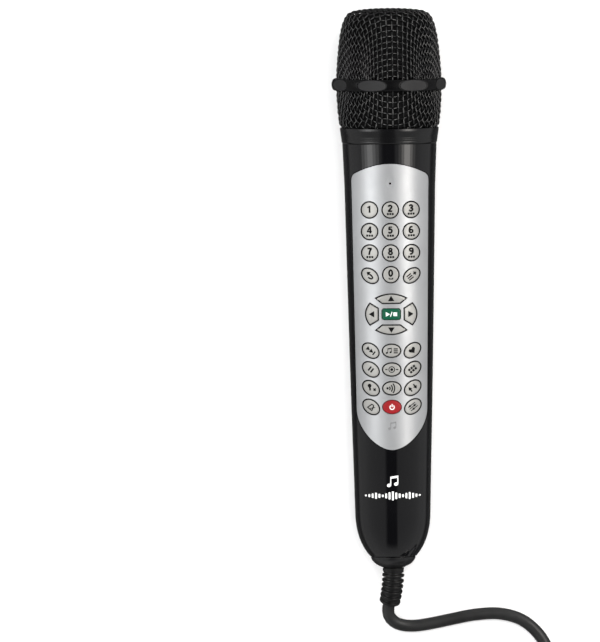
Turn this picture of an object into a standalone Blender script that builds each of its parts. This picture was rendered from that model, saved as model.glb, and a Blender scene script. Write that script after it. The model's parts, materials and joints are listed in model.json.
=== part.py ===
"""Karaoke microphone with a keypad, lying on its back.

The microphone is drawn in its own frame: Y runs along the handle from the end of the strain relief
towards the head, Z points out of the keypad and X points right. The whole of it hangs under one empty
that tips it onto its two resting points. The cord is drawn straight in the world.
"""

import math

import bmesh
import bpy
import numpy as np
from mathutils import Matrix, Vector

MM = 0.001
TURN = 2 * math.pi
GAP = 0.3                      # clearance between touching pieces

# Stations along the handle, in mm from the end of the strain relief.
RELIEF_ROOT = 17.8
SHELL_TAIL = 23.4
COLLAR_FOOT = 226.3
COLLAR_TOP = 233.9
RING_LOW = 252.1
RING_HIGH = 257.9
HEAD_TOP = 292.2

# Handle
HANDLE_TAPER = [(226.0, 23.1), (205.0, 22.25), (160.0, 21.3), (105.0, 20.05), (60.0, 18.85), (44.0, 18.45)]
HANDLE_TAIL = [(44.0, 18.45), (34.0, 18.2), (27.5, 15.0), (SHELL_TAIL, 11.4)]
WALL = 2.0
TAIL_OPENING = 8.0
SEAM_ANGLE = math.radians(0.4)
HANDLE_SEGMENTS = 40

# Head
GRILLE_SHOULDER = [(260.6, 25.85), (277.0, 24.7), (288.5, 23.6), (290.6, 18.6)]
GRILLE_CROWN = [(290.6, 18.6), (291.6, 16.0), (HEAD_TOP, 10.0), (HEAD_TOP, 0.0)]
LOWER_GRILLE = [(COLLAR_TOP + GAP, 24.35), (238.1, 25.0), (243.0, 25.5), (RING_LOW - GAP, 26.0)]
GRILLE_WALL = 1.4
RING_RADIUS = 28.1
RING_BORE = 24.6
FACETS = 8
FACET_FLAT = 26.95             # distance from the axis to each facet
HEAD_TWIST = math.radians(4)   # the head is screwed on a little past the keypad's centre line
HEAD_SEGMENTS = 28
FOAM_GAP = 0.5                 # between the grille and the foam that lines it
FOAM_POCKET = (12.0, 10.5)     # the pocket's end below the head's top, and its radius
CAPSULE = [(262.0, 0.0), (262.0, 8.6), (277.0, 8.6), (278.5, 7.6), (278.5, 0.0)]
CAPSULE_CUP = [(234.8, 3.0), (234.8, 15.0), (238.0, 15.0), (244.0, 10.0), (275.0, 10.0), (275.0, 9.0),
               (261.6, 9.0), (261.6, 3.0)]
LEADS = [(0, 258.5, 0), (0, 250, 0), (0, 236, 1), (0, 226, 3), (0, 217, 5.0), (0, 213, 5.5)]
LEAD_RADIUS = 0.9

# Keypad panel, seen from the front
PANEL_APEX = 216.6
PANEL_CORNER = (18.9, 210.3)
PANEL_SIDE_TOP = (18.75, 204.0)
PANEL_BOTTOM = [(17.25, 96.0), (17.0, 86.0), (7.0, 76.4), (0.0, 76.4)]
PANEL_THICK = 1.2
LEDGE = 1.5
LIGHT_STATION = 207.0
LIGHT_HOLE = 0.55
LIGHT_RADIUS = 1.5

# Keys
COLUMN = 10.2
DIGIT_ROWS = (194.1, 183.5, 173.0, 162.4)
FUNCTION_ROWS = (125.1, 115.9, 106.7, 97.5)
PAD_CENTRE = 143.0
PAD_REACH = (9.45, 7.6)        # centres of the arrow keys from the play key, across and along
KEY_CLEARANCE = 0.45
KEY_PROUD = 0.35
KEY_BEVEL = 0.35
KEY_LIP = 0.7
KEY_LIP_Z = (10.9, 11.5)
KEY_SIDES = 12
ROUND_KEY = (3.75, 3.75)
OVAL_KEY = (4.25, 3.0)
OVAL_LEAN = math.radians(38)
SIDE_OVAL_DROP = 0.6           # the ovals beside the zero sit a little lower than it
LONG_ARROW = (7.1, 4.35, 2.05, 0.2)
SHORT_ARROW = (5.05, 2.75, 2.85, 0.85)
PLAY_KEY = (4.2, 2.35, 0.8)    # half width, half height and corner radius

# Inside. A flat piece is given by its half width, its two stations and its corner radius.
MAT = (14.2, 90.0, 203.0, 2.0)
MAT_Z = (8.9, 10.0)
BOARD = (14.5, 88.0, 210.5, 1.5)
BOARD_Z = (7.0, 8.6)
PROCESSOR = (6.0, 144.0, 156.0, 0.4)
PROCESSOR_THICK = 1.4
MEMORY = (4.5, 122.0, 134.0, 0.4)
MEMORY_THICK = 1.2
CLAMP = (6.0, 38.0, 44.0, 1.0)
CLAMP_BORE = 3.4
BOSS_RADIUS = 3.2
POST_RADIUS = 3.7
SCREW_BORE = 1.6
HEAD_BORE = 2.7
RIB_HALF = (13.0, 0.8)          # half its width and half its thickness
SCREWS = [(-14.0, 217.5), (14.0, 217.5), (-9.0, 50.0), (9.0, 50.0)]
SCREW_SEAT = 1.6                # from the middle of the wall in to the seat of each screw's head
RIBS = (100.0, 196.0)

# Resting attitude: the ring's edge and a flat moulded in the rear shell both touch the ground.
REST_STATION = 46.0
REST_DEPTH = 0.7

FAR = 40.0                      # beyond the handle's surface, for the ends of cutting shapes

# Strain relief and cord
CORD_RADIUS = 3.0
RELIEF_BORE = 3.35
RELIEF_CORE = 4.25
RELIEF_SIDEWAYS = -2.0
RELIEF_DROP = -4.6
RIB_COUNT = 6
RIB_PITCH = 2.55

# Spare cord, in the world: out of the strain relief, over the ground, and round into the coil.
CORD_ROUTE = [(-2.06, -145.08, 10.77), (-2.7, -148.0, 9.1), (-2.1, -151.6, 7.2), (0.9, -154.7, 5.4),
              (5.6, -156.2, 4.0), (11.5, -156.3, 3.2), (19.0, -155.2, 3.02), (29.0, -153.2, 3.0),
              (40.0, -151.2, 3.0), (52.0, -150.8, 3.0), (63.0, -154.0, 3.0), (71.5, -161.5, 3.0),
              (77.0, -172.0, 3.1), (80.8, -185.0, 3.4), (83.2, -200.0, 3.8), (84.2, -214.0, 4.05),
              (84.3, -227.7, 4.1)]
COIL_CENTRE = (36.0, -228.0)
COIL_BASE = 1.1
COIL_TURNS = 4
COIL_LAYERS = 3
COIL_PITCH = 6.15
COIL_MEAN = 36.0
TIE_THICK = 0.8
TIE_WIDTH = 12.0
# The cord's free end, from the centre of the coil: up inside it, and over its top to the plug.
TAIL_ROUTE = [(-19.0, -13.3, 17.8), (-22.5, -4.0, 20.3), (-23.0, 6.2, 22.7), (-21.0, 14.5, 24.2),
              (-16.0, 20.8, 25.2), (-11.0, 23.5, 25.5), (-6.3, 24.0, 25.5)]
BOOT_LENGTH = 22.0
JACK_RADIUS = 3.175


def clear_scene():
    for item in list(bpy.data.objects):
        bpy.data.objects.remove(item)


def finish(name, colour, roughness, metallic=0.0):
    material = bpy.data.materials.new(name)
    material.use_nodes = True
    shader = material.node_tree.nodes["Principled BSDF"]
    shader.inputs["Base Color"].default_value = (*colour, 1.0)
    shader.inputs["Roughness"].default_value = roughness
    shader.inputs["Metallic"].default_value = metallic
    return material


def bezier(points, steps):
    """Points along one cubic curve."""
    p = [Vector(q) for q in points]
    out = []
    for i in range(steps + 1):
        t = i / steps
        s = 1 - t
        out.append(tuple(p[0] * s**3 + p[1] * 3 * s * s * t + p[2] * 3 * s * t * t + p[3] * t**3))
    return out


def offset(points, distance, closed):
    """A line moved sideways, to the right of its direction, with mitred corners."""
    count = len(points)
    moved = []
    for i, here in enumerate(points):
        before = points[i - 1] if closed or i else None
        after = points[(i + 1) % count] if closed or i < count - 1 else None
        normals = []
        for a, b in ((before, here), (here, after)):
            if a is not None and b is not None:
                run = (Vector(b) - Vector(a)).normalized()
                normals.append(Vector((run.y, -run.x)))
        middle = sum(normals, Vector((0, 0))).normalized()
        stretch = distance / max(middle.dot(normals[0]), 0.5)
        moved.append((here[0] + middle.x * stretch, here[1] + middle.y * stretch))
    return moved


def solid(name, vertices, faces, material, parent, sharp=35):
    """One closed piece, with its faces turned outward and its round sides shaded smooth."""
    mesh = bpy.data.meshes.new(name)
    mesh.from_pydata([Vector(v) * MM for v in vertices], [], faces)
    shape = bmesh.new()
    shape.from_mesh(mesh)
    bmesh.ops.recalc_face_normals(shape, faces=shape.faces)
    shape.to_mesh(mesh)
    shape.free()
    mesh.shade_smooth()
    mesh.set_sharp_from_angle(angle=math.radians(sharp))
    mesh.materials.append(material)
    piece = bpy.data.objects.new(name, mesh)
    bpy.context.collection.objects.link(piece)
    piece.parent = parent
    return piece


def tunnel_faces(rows, columns, loop_rows, loop_columns):
    """Quads over a grid of vertices, which may close up either way."""
    faces = []
    for i in range(rows if loop_rows else rows - 1):
        for j in range(columns if loop_columns else columns - 1):
            a, b = i * columns + j, i * columns + (j + 1) % columns
            c, d = (i + 1) % rows * columns + (j + 1) % columns, (i + 1) % rows * columns + j
            faces.append((a, b, c, d))
    return faces


def turned(name, loop, segments, material, parent, start=0.0, end=TURN):
    """A closed section of (station, radius) points, turned about the handle's axis."""
    whole = end - start >= TURN - 1e-6
    steps = segments if whole else segments + 1
    vertices = []
    for i in range(steps):
        angle = start + (end - start) * i / segments
        vertices += [(r * math.cos(angle), y, r * math.sin(angle)) for y, r in loop]
    faces = tunnel_faces(steps, len(loop), whole, True)
    if not whole:
        last = (steps - 1) * len(loop)
        faces += [tuple(range(len(loop))), tuple(range(last, last + len(loop)))]
    return solid(name, vertices, faces, material, parent)


def turned_solid(name, line, segments, material, parent):
    """A line of (station, radius) points that starts and ends on the axis, turned about it."""
    inner = line[1:-1]
    vertices = []
    for i in range(segments):
        angle = TURN * i / segments
        vertices += [(r * math.cos(angle), y, r * math.sin(angle)) for y, r in inner]
    faces = tunnel_faces(segments, len(inner), True, False)
    for station, ring in ((line[0][0], 0), (line[-1][0], len(inner) - 1)):
        vertices.append((0, station, 0))
        hub = len(vertices) - 1
        for i in range(segments):
            faces.append((hub, i * len(inner) + ring, (i + 1) % segments * len(inner) + ring))
    return solid(name, vertices, faces, material, parent)


def prism(name, outline, low, high, material, parent):
    """An outline in the XY plane, raised from one height to another."""
    count = len(outline)
    vertices = [(x, y, low) for x, y in outline] + [(x, y, high) for x, y in outline]
    faces = [tuple(range(count)), tuple(range(count, 2 * count))]
    faces += [(i, (i + 1) % count, count + (i + 1) % count, count + i) for i in range(count)]
    return solid(name, vertices, faces, material, parent)


def box_outline(x_low, y_low, x_high, y_high, corner=0.0):
    if corner == 0.0:
        return [(x_low, y_low), (x_high, y_low), (x_high, y_high), (x_low, y_high)]
    outline = []
    for cx, cy, start in ((x_high - corner, y_low + corner, -90), (x_high - corner, y_high - corner, 0),
                          (x_low + corner, y_high - corner, 90), (x_low + corner, y_low + corner, 180)):
        for step in range(4):
            angle = math.radians(start + 30 * step)
            outline.append((cx + corner * math.cos(angle), cy + corner * math.sin(angle)))
    return outline


def ellipse(centre, radii, lean=0.0, sides=KEY_SIDES):
    outline = []
    for i in range(sides):
        angle = TURN * (i + 0.5) / sides
        u, v = radii[0] * math.cos(angle), radii[1] * math.sin(angle)
        outline.append((centre[0] + u * math.cos(lean) - v * math.sin(lean),
                        centre[1] + u * math.sin(lean) + v * math.cos(lean)))
    return outline


def guide(name, pieces):
    """Cutting shapes gathered into one hidden object."""
    cutter = pieces[0]
    if len(pieces) > 1:
        shape = bmesh.new()
        for piece in pieces:
            shape.from_mesh(piece.data)
        shape.to_mesh(cutter.data)
        shape.free()
        for piece in pieces[1:]:
            bpy.data.objects.remove(piece)
    cutter.name = name
    cutter.hide_render = True
    cutter.display_type = 'WIRE'
    return cutter


def combine(target, operation, cutter):
    step = target.modifiers.new(cutter.name, 'BOOLEAN')
    step.operation = operation
    step.solver = 'EXACT'
    step.object = cutter


def handle_profile():
    return HANDLE_TAPER[:-1] + bezier(HANDLE_TAIL, 5)


def handle_radius(station):
    line = sorted(handle_profile())
    return float(np.interp(station, [y for y, _ in line], [r for _, r in line]))


def panel_outline():
    """Right half from the apex down, then the left half back up."""
    half = [(0.0, PANEL_APEX)]
    rise = PANEL_APEX - PANEL_CORNER[1]
    for step in (0.25, 0.5, 0.75, 0.92):
        half.append((PANEL_CORNER[0] * step, PANEL_APEX - rise * step**2 * 0.92))
    half.append((PANEL_CORNER[0] * 0.985, PANEL_CORNER[1] - 0.9))
    half.append(PANEL_SIDE_TOP)
    half += bezier(PANEL_BOTTOM, 8)[:-1]
    bottom = [PANEL_BOTTOM[-1]]
    return half + bottom + [(-x, y) for x, y in reversed(half[1:])]


def skin(name, depth, height, material, parent):
    """A layer that follows the front of the handle, from depth under it to height over it."""
    stations = [70.0, 105.0, 160.0, 205.0, 220.0]
    outer = [(y, handle_radius(y) + height) for y in stations]
    inner = [(y, handle_radius(y) - depth) for y in reversed(stations)]
    return turned(name, outer + inner, HANDLE_SEGMENTS // 2, material, parent,
                  SEAM_ANGLE, math.pi - SEAM_ANGLE)


def key_plan():
    """Every key: its name, the place of its centre, and its outline about that centre."""
    plan = []
    for number in range(1, 10):
        column, row = (number - 1) % 3 - 1, (number - 1) // 3
        plan.append((f"key_{number}", (column * COLUMN, DIGIT_ROWS[row]), ellipse((0, 0), ROUND_KEY)))
    last = DIGIT_ROWS[3]
    plan.append(("key_back", (-COLUMN, last - SIDE_OVAL_DROP), ellipse((0, 0), OVAL_KEY, -OVAL_LEAN)))
    plan.append(("key_0", (0.0, last), ellipse((0, 0), ROUND_KEY)))
    plan.append(("key_reserve", (COLUMN, last - SIDE_OVAL_DROP), ellipse((0, 0), OVAL_KEY, OVAL_LEAN)))
    across, along = PAD_REACH
    long_arrow = arrow_outline(*LONG_ARROW)
    short_arrow = arrow_outline(*SHORT_ARROW)
    plan.append(("key_up", (0.0, PAD_CENTRE + along), long_arrow))
    plan.append(("key_down", (0.0, PAD_CENTRE - along), [(-x, -y) for x, y in long_arrow]))
    plan.append(("key_left", (-across, PAD_CENTRE), [(-y, x) for x, y in short_arrow]))
    plan.append(("key_right", (across, PAD_CENTRE), [(y, -x) for x, y in short_arrow]))
    half_width, half_height, corner = PLAY_KEY
    play = box_outline(-half_width, -half_height, half_width, half_height, corner)
    plan.append(("key_play", (0.0, PAD_CENTRE), play))
    names = [("jump", "song", "favourite"), ("pause", "record", "function"),
             ("mic_volume", "echo", "key_shift"), ("tempo", "power", "mode")]
    for row, trio in zip(FUNCTION_ROWS, names):
        for column, name in zip((-1, 0, 1), trio):
            lean = column * OVAL_LEAN
            plan.append((f"key_{name}", (column * COLUMN, row), ellipse((0, 0), OVAL_KEY, lean)))
    return plan


def arrow_outline(half_width, half_flat, half_height, shoulder):
    """An arrow key: flat towards the middle of the pad, with slanted ends and a shallow arc outside."""
    outline = [(-half_flat, -half_height), (half_flat, -half_height)]
    for i in range(9):
        across = math.cos(math.pi * i / 8)
        outline.append((half_width * across, half_height - (half_height - shoulder) * across**2))
    return outline


def key_top(x, y, lift):
    return math.sqrt((handle_radius(y) + lift) ** 2 - x * x)


def key(name, centre, outline, material, parent):
    """A cap whose top follows the panel, on a stem with a lip under the panel. Its origin is its centre."""
    cx, cy = centre
    count = len(outline)
    lip = offset(outline, KEY_LIP, True)
    top = offset(outline, -KEY_BEVEL, True)
    vertices = [(x, y, KEY_LIP_Z[0]) for x, y in lip]
    vertices += [(x, y, KEY_LIP_Z[1]) for x, y in lip]
    vertices += [(x, y, KEY_LIP_Z[1]) for x, y in outline]
    vertices += [(x, y, key_top(cx + x, cy + y, KEY_PROUD - KEY_BEVEL)) for x, y in outline]
    vertices += [(x, y, key_top(cx + x, cy + y, KEY_PROUD)) for x, y in top]
    faces = tunnel_faces(5, count, False, True)
    faces.append(tuple(range(count)))
    vertices.append((0, 0, key_top(cx, cy, KEY_PROUD)))
    hub = len(vertices) - 1
    faces += [(4 * count + i, 4 * count + (i + 1) % count, hub) for i in range(count)]
    piece = solid(name, vertices, faces, material, parent)
    piece.location = (cx * MM, cy * MM, 0)
    return piece


def head(parent):
    """The two halves of the grille, the ring between them and what they protect."""
    wire = finish("grille_wire", (0.012, 0.012, 0.013), 0.45, 0.6)
    crown = bezier(GRILLE_SHOULDER, 4)[:-1] + bezier(GRILLE_CROWN, 3)
    outer = [(RING_HIGH + GAP, 25.9)] + crown
    inner = [(y, max(r, 0.0)) for y, r in offset(outer[:-1], GRILLE_WALL, False)]
    inner[0] = (RING_HIGH + GAP, inner[0][1])
    line = [(HEAD_TOP - GRILLE_WALL, 0.0)] + inner[::-1] + outer
    turned_solid("grille_upper", line, HEAD_SEGMENTS, wire, parent)

    lower = LOWER_GRILLE + [(y, r - GRILLE_WALL) for y, r in reversed(LOWER_GRILLE)]
    turned("grille_lower", lower, HEAD_SEGMENTS, wire, parent)

    rubber = finish("ring_rubber", (0.05, 0.05, 0.052), 0.38)
    anti_roll_ring(rubber, parent)

    foam = finish("foam", (0.02, 0.02, 0.02), 0.95)
    foot = RING_HIGH + 1.0
    lining = [(y, max(r, 0.0)) for y, r in offset(outer[:-1], GRILLE_WALL + FOAM_GAP, False)]
    shell = [(foot, lining[0][1])] + lining[1:] + [(HEAD_TOP - GRILLE_WALL - FOAM_GAP, 0.0)]
    depth, radius = FOAM_POCKET
    pocket = [(HEAD_TOP - depth, 0.0), (HEAD_TOP - depth, radius), (foot, radius)]
    turned_solid("windscreen_foam", pocket + shell, 24, foam, parent)

    metal = finish("capsule_metal", (0.55, 0.55, 0.56), 0.35, 1.0)
    turned_solid("capsule", CAPSULE, 18, metal, parent)
    cushion = finish("capsule_rubber", (0.03, 0.03, 0.03), 0.8)
    turned("capsule_mount", CAPSULE_CUP, 18, cushion, parent)


def anti_roll_ring(material, parent):
    """A rounded band with flat facets. Where a facet cuts deeper than the band's own curve, it wins."""
    middle = (RING_LOW + RING_HIGH) / 2
    half = (RING_HIGH - RING_LOW) / 2
    section = []
    for i in range(5):
        angle = math.radians(-90 + 45 * i)
        section.append((middle + half * math.sin(angle), RING_RADIUS - 1.6 + 1.6 * math.cos(angle)))
    section += [(RING_HIGH, RING_BORE), (RING_LOW, RING_BORE)]
    segments = 48
    pitch = TURN / FACETS
    vertices = []
    for i in range(segments):
        angle = TURN * i / segments
        # A facet's middle lies half a pitch either side of the head's own front.
        from_facet = (angle - (math.pi / 2 - HEAD_TWIST)) % pitch - pitch / 2
        reach = FACET_FLAT / math.cos(from_facet)
        for y, r in section:
            radius = min(r, reach)
            vertices.append((radius * math.cos(angle), y, radius * math.sin(angle)))
    faces = tunnel_faces(segments, len(section), True, True)
    solid("anti_roll_ring", vertices, faces, material, parent)


def collar(parent):
    black = finish("collar_black", (0.016, 0.016, 0.017), 0.3)
    section = [(COLLAR_FOOT, 23.3), (COLLAR_FOOT + 0.5, 23.5), (COLLAR_TOP - 0.8, 24.25), (COLLAR_TOP, 23.7),
               (COLLAR_TOP, 12.0), (222.5, 12.0), (222.5, 20.4), (COLLAR_FOOT, 20.4)]
    turned("collar", section, HEAD_SEGMENTS, black, parent)


def shell_section():
    outer = handle_profile()
    inner = offset(outer, -WALL, False)
    inner = [(y, r) for y, r in inner if r > TAIL_OPENING and y > SHELL_TAIL + WALL]
    inner[0] = (outer[0][0], inner[0][1])
    return outer + [(SHELL_TAIL, TAIL_OPENING), (SHELL_TAIL + WALL, TAIL_OPENING)] + inner[::-1]


def post(name, place, low, high, radius, material, parent, sides=16):
    return prism(name, ellipse(place, (radius, radius), 0.0, sides), low, high, material, parent)


def screw_reach(place):
    """How far the handle's wall is from its middle plane at a screw."""
    return math.sqrt((handle_radius(place[1]) - 1.0) ** 2 - place[0] ** 2)


def shells(parent):
    gloss = finish("shell_black", (0.01, 0.01, 0.011), 0.08)
    plan = panel_outline()
    section = shell_section()
    half = HANDLE_SEGMENTS // 2
    front = turned("front_shell", section, half, gloss, parent, SEAM_ANGLE, math.pi - SEAM_ANGLE)
    rear = turned("rear_shell", section, half, gloss, parent, math.pi + SEAM_ANGLE, TURN - SEAM_ANGLE)

    core = [(228.0, 0.0)] + [(y, r - 0.7) for y, r in handle_profile()] + [(SHELL_TAIL, 0.0)]
    core = guide("handle_core", [turned_solid("core", core, HANDLE_SEGMENTS, gloss, parent)])

    bosses, front_bores, rear_posts, rear_bores, counterbores = [], [], [], [], []
    for index, place in enumerate(SCREWS):
        reach = screw_reach(place)
        bosses.append(post(f"boss{index}", place, GAP, FAR, BOSS_RADIUS, gloss, parent))
        front_bores.append(post(f"bore{index}", place, -2.0, reach - 2.5, SCREW_BORE, gloss, parent))
        rear_posts.append(post(f"post{index}", place, -FAR, -GAP, POST_RADIUS, gloss, parent))
        rear_bores.append(post(f"hole{index}", place, -FAR, 2.0, SCREW_BORE, gloss, parent))
        counterbores.append(post(f"sink{index}", place, -FAR, SCREW_SEAT - reach, HEAD_BORE, gloss, parent))
    front_bosses = guide("front_bosses", bosses)
    combine(front_bosses, 'INTERSECT', core)
    combine(front, 'UNION', front_bosses)
    combine(front, 'DIFFERENCE', guide("front_boss_bores", front_bores))

    pocket = skin("panel_pocket", PANEL_THICK + GAP, 3.0, gloss, parent)
    pocket_plan = prism("pocket_plan", offset(plan, -GAP, True), 0.0, FAR, gloss, parent)
    combine(pocket, 'INTERSECT', guide("pocket_plan", [pocket_plan]))
    combine(front, 'DIFFERENCE', guide("panel_pocket", [pocket]))
    window = prism("window", offset(plan, LEDGE, True), 2.0, FAR, gloss, parent)
    combine(front, 'DIFFERENCE', guide("window", [window]))

    ribs = []
    half_width, half_thick = RIB_HALF
    for index, station in enumerate(RIBS):
        wall = handle_radius(station) - 1.0
        reach = math.asin(half_width / wall)
        arc = [(wall * math.sin(reach * t), -wall * math.cos(reach * t)) for t in np.linspace(-1, 1, 9)]
        outline = arc + [(half_width, BOARD_Z[0] - GAP), (-half_width, BOARD_Z[0] - GAP)]
        rib = prism(f"rib{index}", outline, -half_thick, half_thick, gloss, parent)
        rib.data.transform(Matrix.Translation((0, station * MM, 0)) @ Matrix.Rotation(math.pi / 2, 4, 'X'))
        ribs.append(rib)
    combine(rear, 'UNION', guide("rear_ribs", ribs))
    posts = guide("rear_posts", rear_posts)
    combine(posts, 'INTERSECT', core)
    combine(rear, 'UNION', posts)
    combine(rear, 'DIFFERENCE', guide("rear_bores", rear_bores))
    combine(rear, 'DIFFERENCE', guide("counterbores", counterbores))
    ground = prism("ground", box_outline(-60, -260, 60, 260), -30.0, 0.0, gloss, None)
    combine(rear, 'DIFFERENCE', guide("ground", [ground]))

    steel = finish("screw_steel", (0.3, 0.3, 0.31), 0.35, 1.0)
    for index, place in enumerate(SCREWS, start=1):
        seat = SCREW_SEAT - screw_reach(place) - GAP
        line = [(seat - 1.6, 0.0), (seat - 1.6, 1.7), (seat - 1.0, 2.3), (seat, 2.3), (seat, 1.25),
                (seat + 20.0, 1.25), (seat + 21.0, 0.5), (seat + 21.0, 0.0)]
        screw = turned_solid(f"shell_screw_{index}", line, 12, steel, parent)
        screw.data.transform(Matrix.Rotation(math.pi / 2, 4, 'X'))
        screw.location = (place[0] * MM, place[1] * MM, 0)


def keypad(parent):
    satin = finish("panel_silver", (0.62, 0.63, 0.65), 0.3, 1.0)
    plan = panel_outline()
    panel = skin("keypad_panel", PANEL_THICK, 0.0, satin, parent)
    panel_plan = prism("panel_plan", plan, 0.0, FAR, satin, parent)
    combine(panel, 'INTERSECT', guide("panel_plan", [panel_plan]))

    grey = finish("key_grey", (0.58, 0.58, 0.55), 0.45)
    green = finish("key_green", (0.005, 0.13, 0.06), 0.4)
    red = finish("key_red", (0.52, 0.02, 0.03), 0.4)
    colours = {"key_play": green, "key_power": red}
    holes = []
    for name, centre, outline in key_plan():
        key(name, centre, outline, colours.get(name, grey), parent)
        opening = [(centre[0] + x, centre[1] + y) for x, y in offset(outline, KEY_CLEARANCE, True)]
        holes.append(prism(f"hole_{name}", opening, 5.0, FAR, satin, parent))
    holes.append(post("hole_light", (0, LIGHT_STATION), 5.0, FAR, LIGHT_HOLE, satin, parent, 10))
    combine(panel, 'DIFFERENCE', guide("key_holes", holes))

    light = finish("light_lens", (0.05, 0.01, 0.01), 0.15)
    foot = BOARD_Z[1] + GAP
    top = handle_radius(LIGHT_STATION) - PANEL_THICK - 0.5
    line = [(foot, 0.0), (foot, LIGHT_RADIUS), (top - 1.0, LIGHT_RADIUS), (top - 0.3, 1.0), (top, 0.0)]
    lamp = turned_solid("status_light", line, 12, light, parent)
    lamp.data.transform(Matrix.Rotation(math.pi / 2, 4, 'X'))
    lamp.location = (0, LIGHT_STATION * MM, 0)


def flat_piece(name, plan, low, high, material, parent):
    half_width, start, end, corner = plan
    return prism(name, box_outline(-half_width, start, half_width, end, corner), low, high, material, parent)


def inside(parent):
    silicone = finish("mat_silicone", (0.45, 0.45, 0.43), 0.7)
    flat_piece("keypad_mat", MAT, *MAT_Z, silicone, parent)
    board = finish("board_green", (0.01, 0.12, 0.05), 0.4)
    flat_piece("main_board", BOARD, *BOARD_Z, board, parent)
    chip = finish("chip_black", (0.02, 0.02, 0.02), 0.5)
    under = BOARD_Z[0] - GAP
    flat_piece("processor_chip", PROCESSOR, under - PROCESSOR_THICK, under, chip, parent)
    flat_piece("memory_chip", MEMORY, under - MEMORY_THICK, under, chip, parent)
    wire = finish("lead_wire", (0.3, 0.02, 0.02), 0.5)
    curve_piece("capsule_leads", LEADS, LEAD_RADIUS, wire, parent, 1)


def curve_piece(name, points, radius, material, parent, resolution):
    """A tube along a line of points, with closed ends."""
    curve = bpy.data.curves.new(name, 'CURVE')
    curve.dimensions = '3D'
    curve.bevel_depth = radius * MM
    curve.bevel_resolution = resolution
    curve.use_fill_caps = True
    curve.render_resolution_u = 0
    line = curve.splines.new('POLY')
    line.points.add(len(points) - 1)
    for point, place in zip(line.points, points):
        point.co = (*(Vector(place) * MM), 1.0)
    curve.materials.append(material)
    piece = bpy.data.objects.new(name, curve)
    bpy.context.collection.objects.link(piece)
    piece.parent = parent
    return piece


def relief_line(station):
    """The strain relief is straight down to its root, and then bends aside and down."""
    past = max(RELIEF_ROOT - station, 0.0) / RELIEF_ROOT
    return Vector((RELIEF_SIDEWAYS * past**2, station, RELIEF_DROP * past**2))


def relief_frame(station):
    here = relief_line(station)
    along = (relief_line(station - 0.05) - relief_line(station + 0.05)).normalized()
    across = along.cross(Vector((0, 0, 1))).normalized()
    return here, across, across.cross(along)


def tail(parent):
    black = finish("tail_black", (0.02, 0.02, 0.021), 0.35)
    section = [(RELIEF_ROOT, 5.75), (19.2, 8.2), (21.0, 10.2), (SHELL_TAIL - GAP, 11.0),
               (SHELL_TAIL - GAP, 7.6), (28.0, 7.6), (28.0, 4.6), (RELIEF_ROOT, 4.6)]
    turned("tail_cap", section, 20, black, parent)

    rubber = finish("relief_rubber", (0.018, 0.018, 0.018), 0.6)
    outline = [(30.3, RELIEF_CORE), (30.3, 7.0), (28.0 + GAP, 7.0), (28.0 + GAP, RELIEF_CORE),
               (17.2, RELIEF_CORE), (17.2, 5.4), (16.4, 5.4)]
    for rib in range(RIB_COUNT):
        middle = 14.6 - RIB_PITCH * rib
        radius = 5.35 - 0.12 * rib
        outline += [(middle + 0.8, RELIEF_CORE + 0.1), (middle + 0.55, radius),
                    (middle - 0.55, radius), (middle - 0.8, RELIEF_CORE + 0.1)]
    outline += [(0.0, RELIEF_CORE), (0.0, RELIEF_BORE)]
    outline += [(y, RELIEF_BORE) for y in (3.0, 6.0, 9.0, 12.0, 15.0, 18.0)] + [(30.3, RELIEF_BORE)]
    sides = 12
    vertices = []
    for station, radius in outline:
        here, across, up = relief_frame(station)
        for i in range(sides):
            angle = TURN * i / sides
            vertices.append(here + across * radius * math.cos(angle) + up * radius * math.sin(angle))
    solid("strain_relief", vertices, tunnel_faces(len(outline), sides, True, True), rubber, parent)

    jacket = finish("cord_jacket", (0.02, 0.02, 0.02), 0.45)
    inner = [relief_line(y) for y in (0.6, 3.0, 6.0, 9.0, 12.0, 15.0, 18.0, 24.0)] + [(0, 36, 0), (0, 50, 0)]
    curve_piece("inner_cable", inner, CORD_RADIUS, jacket, parent, 2)
    nylon = finish("clamp_nylon", (0.5, 0.48, 0.42), 0.6)
    clamp = flat_piece("cable_clamp", CLAMP, -CLAMP[0], CLAMP[0], nylon, parent)
    start, end = CLAMP[1] - 8.0, CLAMP[2] + 8.0
    line = [(start, 0.0), (start, CLAMP_BORE), (end, CLAMP_BORE), (end, 0.0)]
    bore = turned_solid("clamp_bore", line, 16, nylon, parent)
    combine(clamp, 'DIFFERENCE', guide("clamp_bore", [bore]))


def smooth(points, spacing):
    """Evenly spaced points on one smooth curve through the given ones."""
    points = [Vector(p) for p in points]
    ends = [points[0] * 2 - points[1]] + points + [points[-1] * 2 - points[-2]]
    fine = []
    for a, b, c, d in zip(ends, ends[1:], ends[2:], ends[3:]):
        for t in np.linspace(0, 1, 16, endpoint=False):
            fine.append((b * 2 + (c - a) * t + (a * 2 - b * 5 + c * 4 - d) * t**2
                         + (b * 3 - a - c * 3 + d) * t**3) / 2)
    fine.append(points[-1])
    run = np.concatenate([[0.0], np.cumsum([(q - p).length for p, q in zip(fine, fine[1:])])])
    stops = np.linspace(0, run[-1], max(int(run[-1] / spacing), 2) + 1)
    return [Vector([np.interp(s, run, [p[i] for p in fine]) for i in range(3)]) for s in stops]


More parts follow.
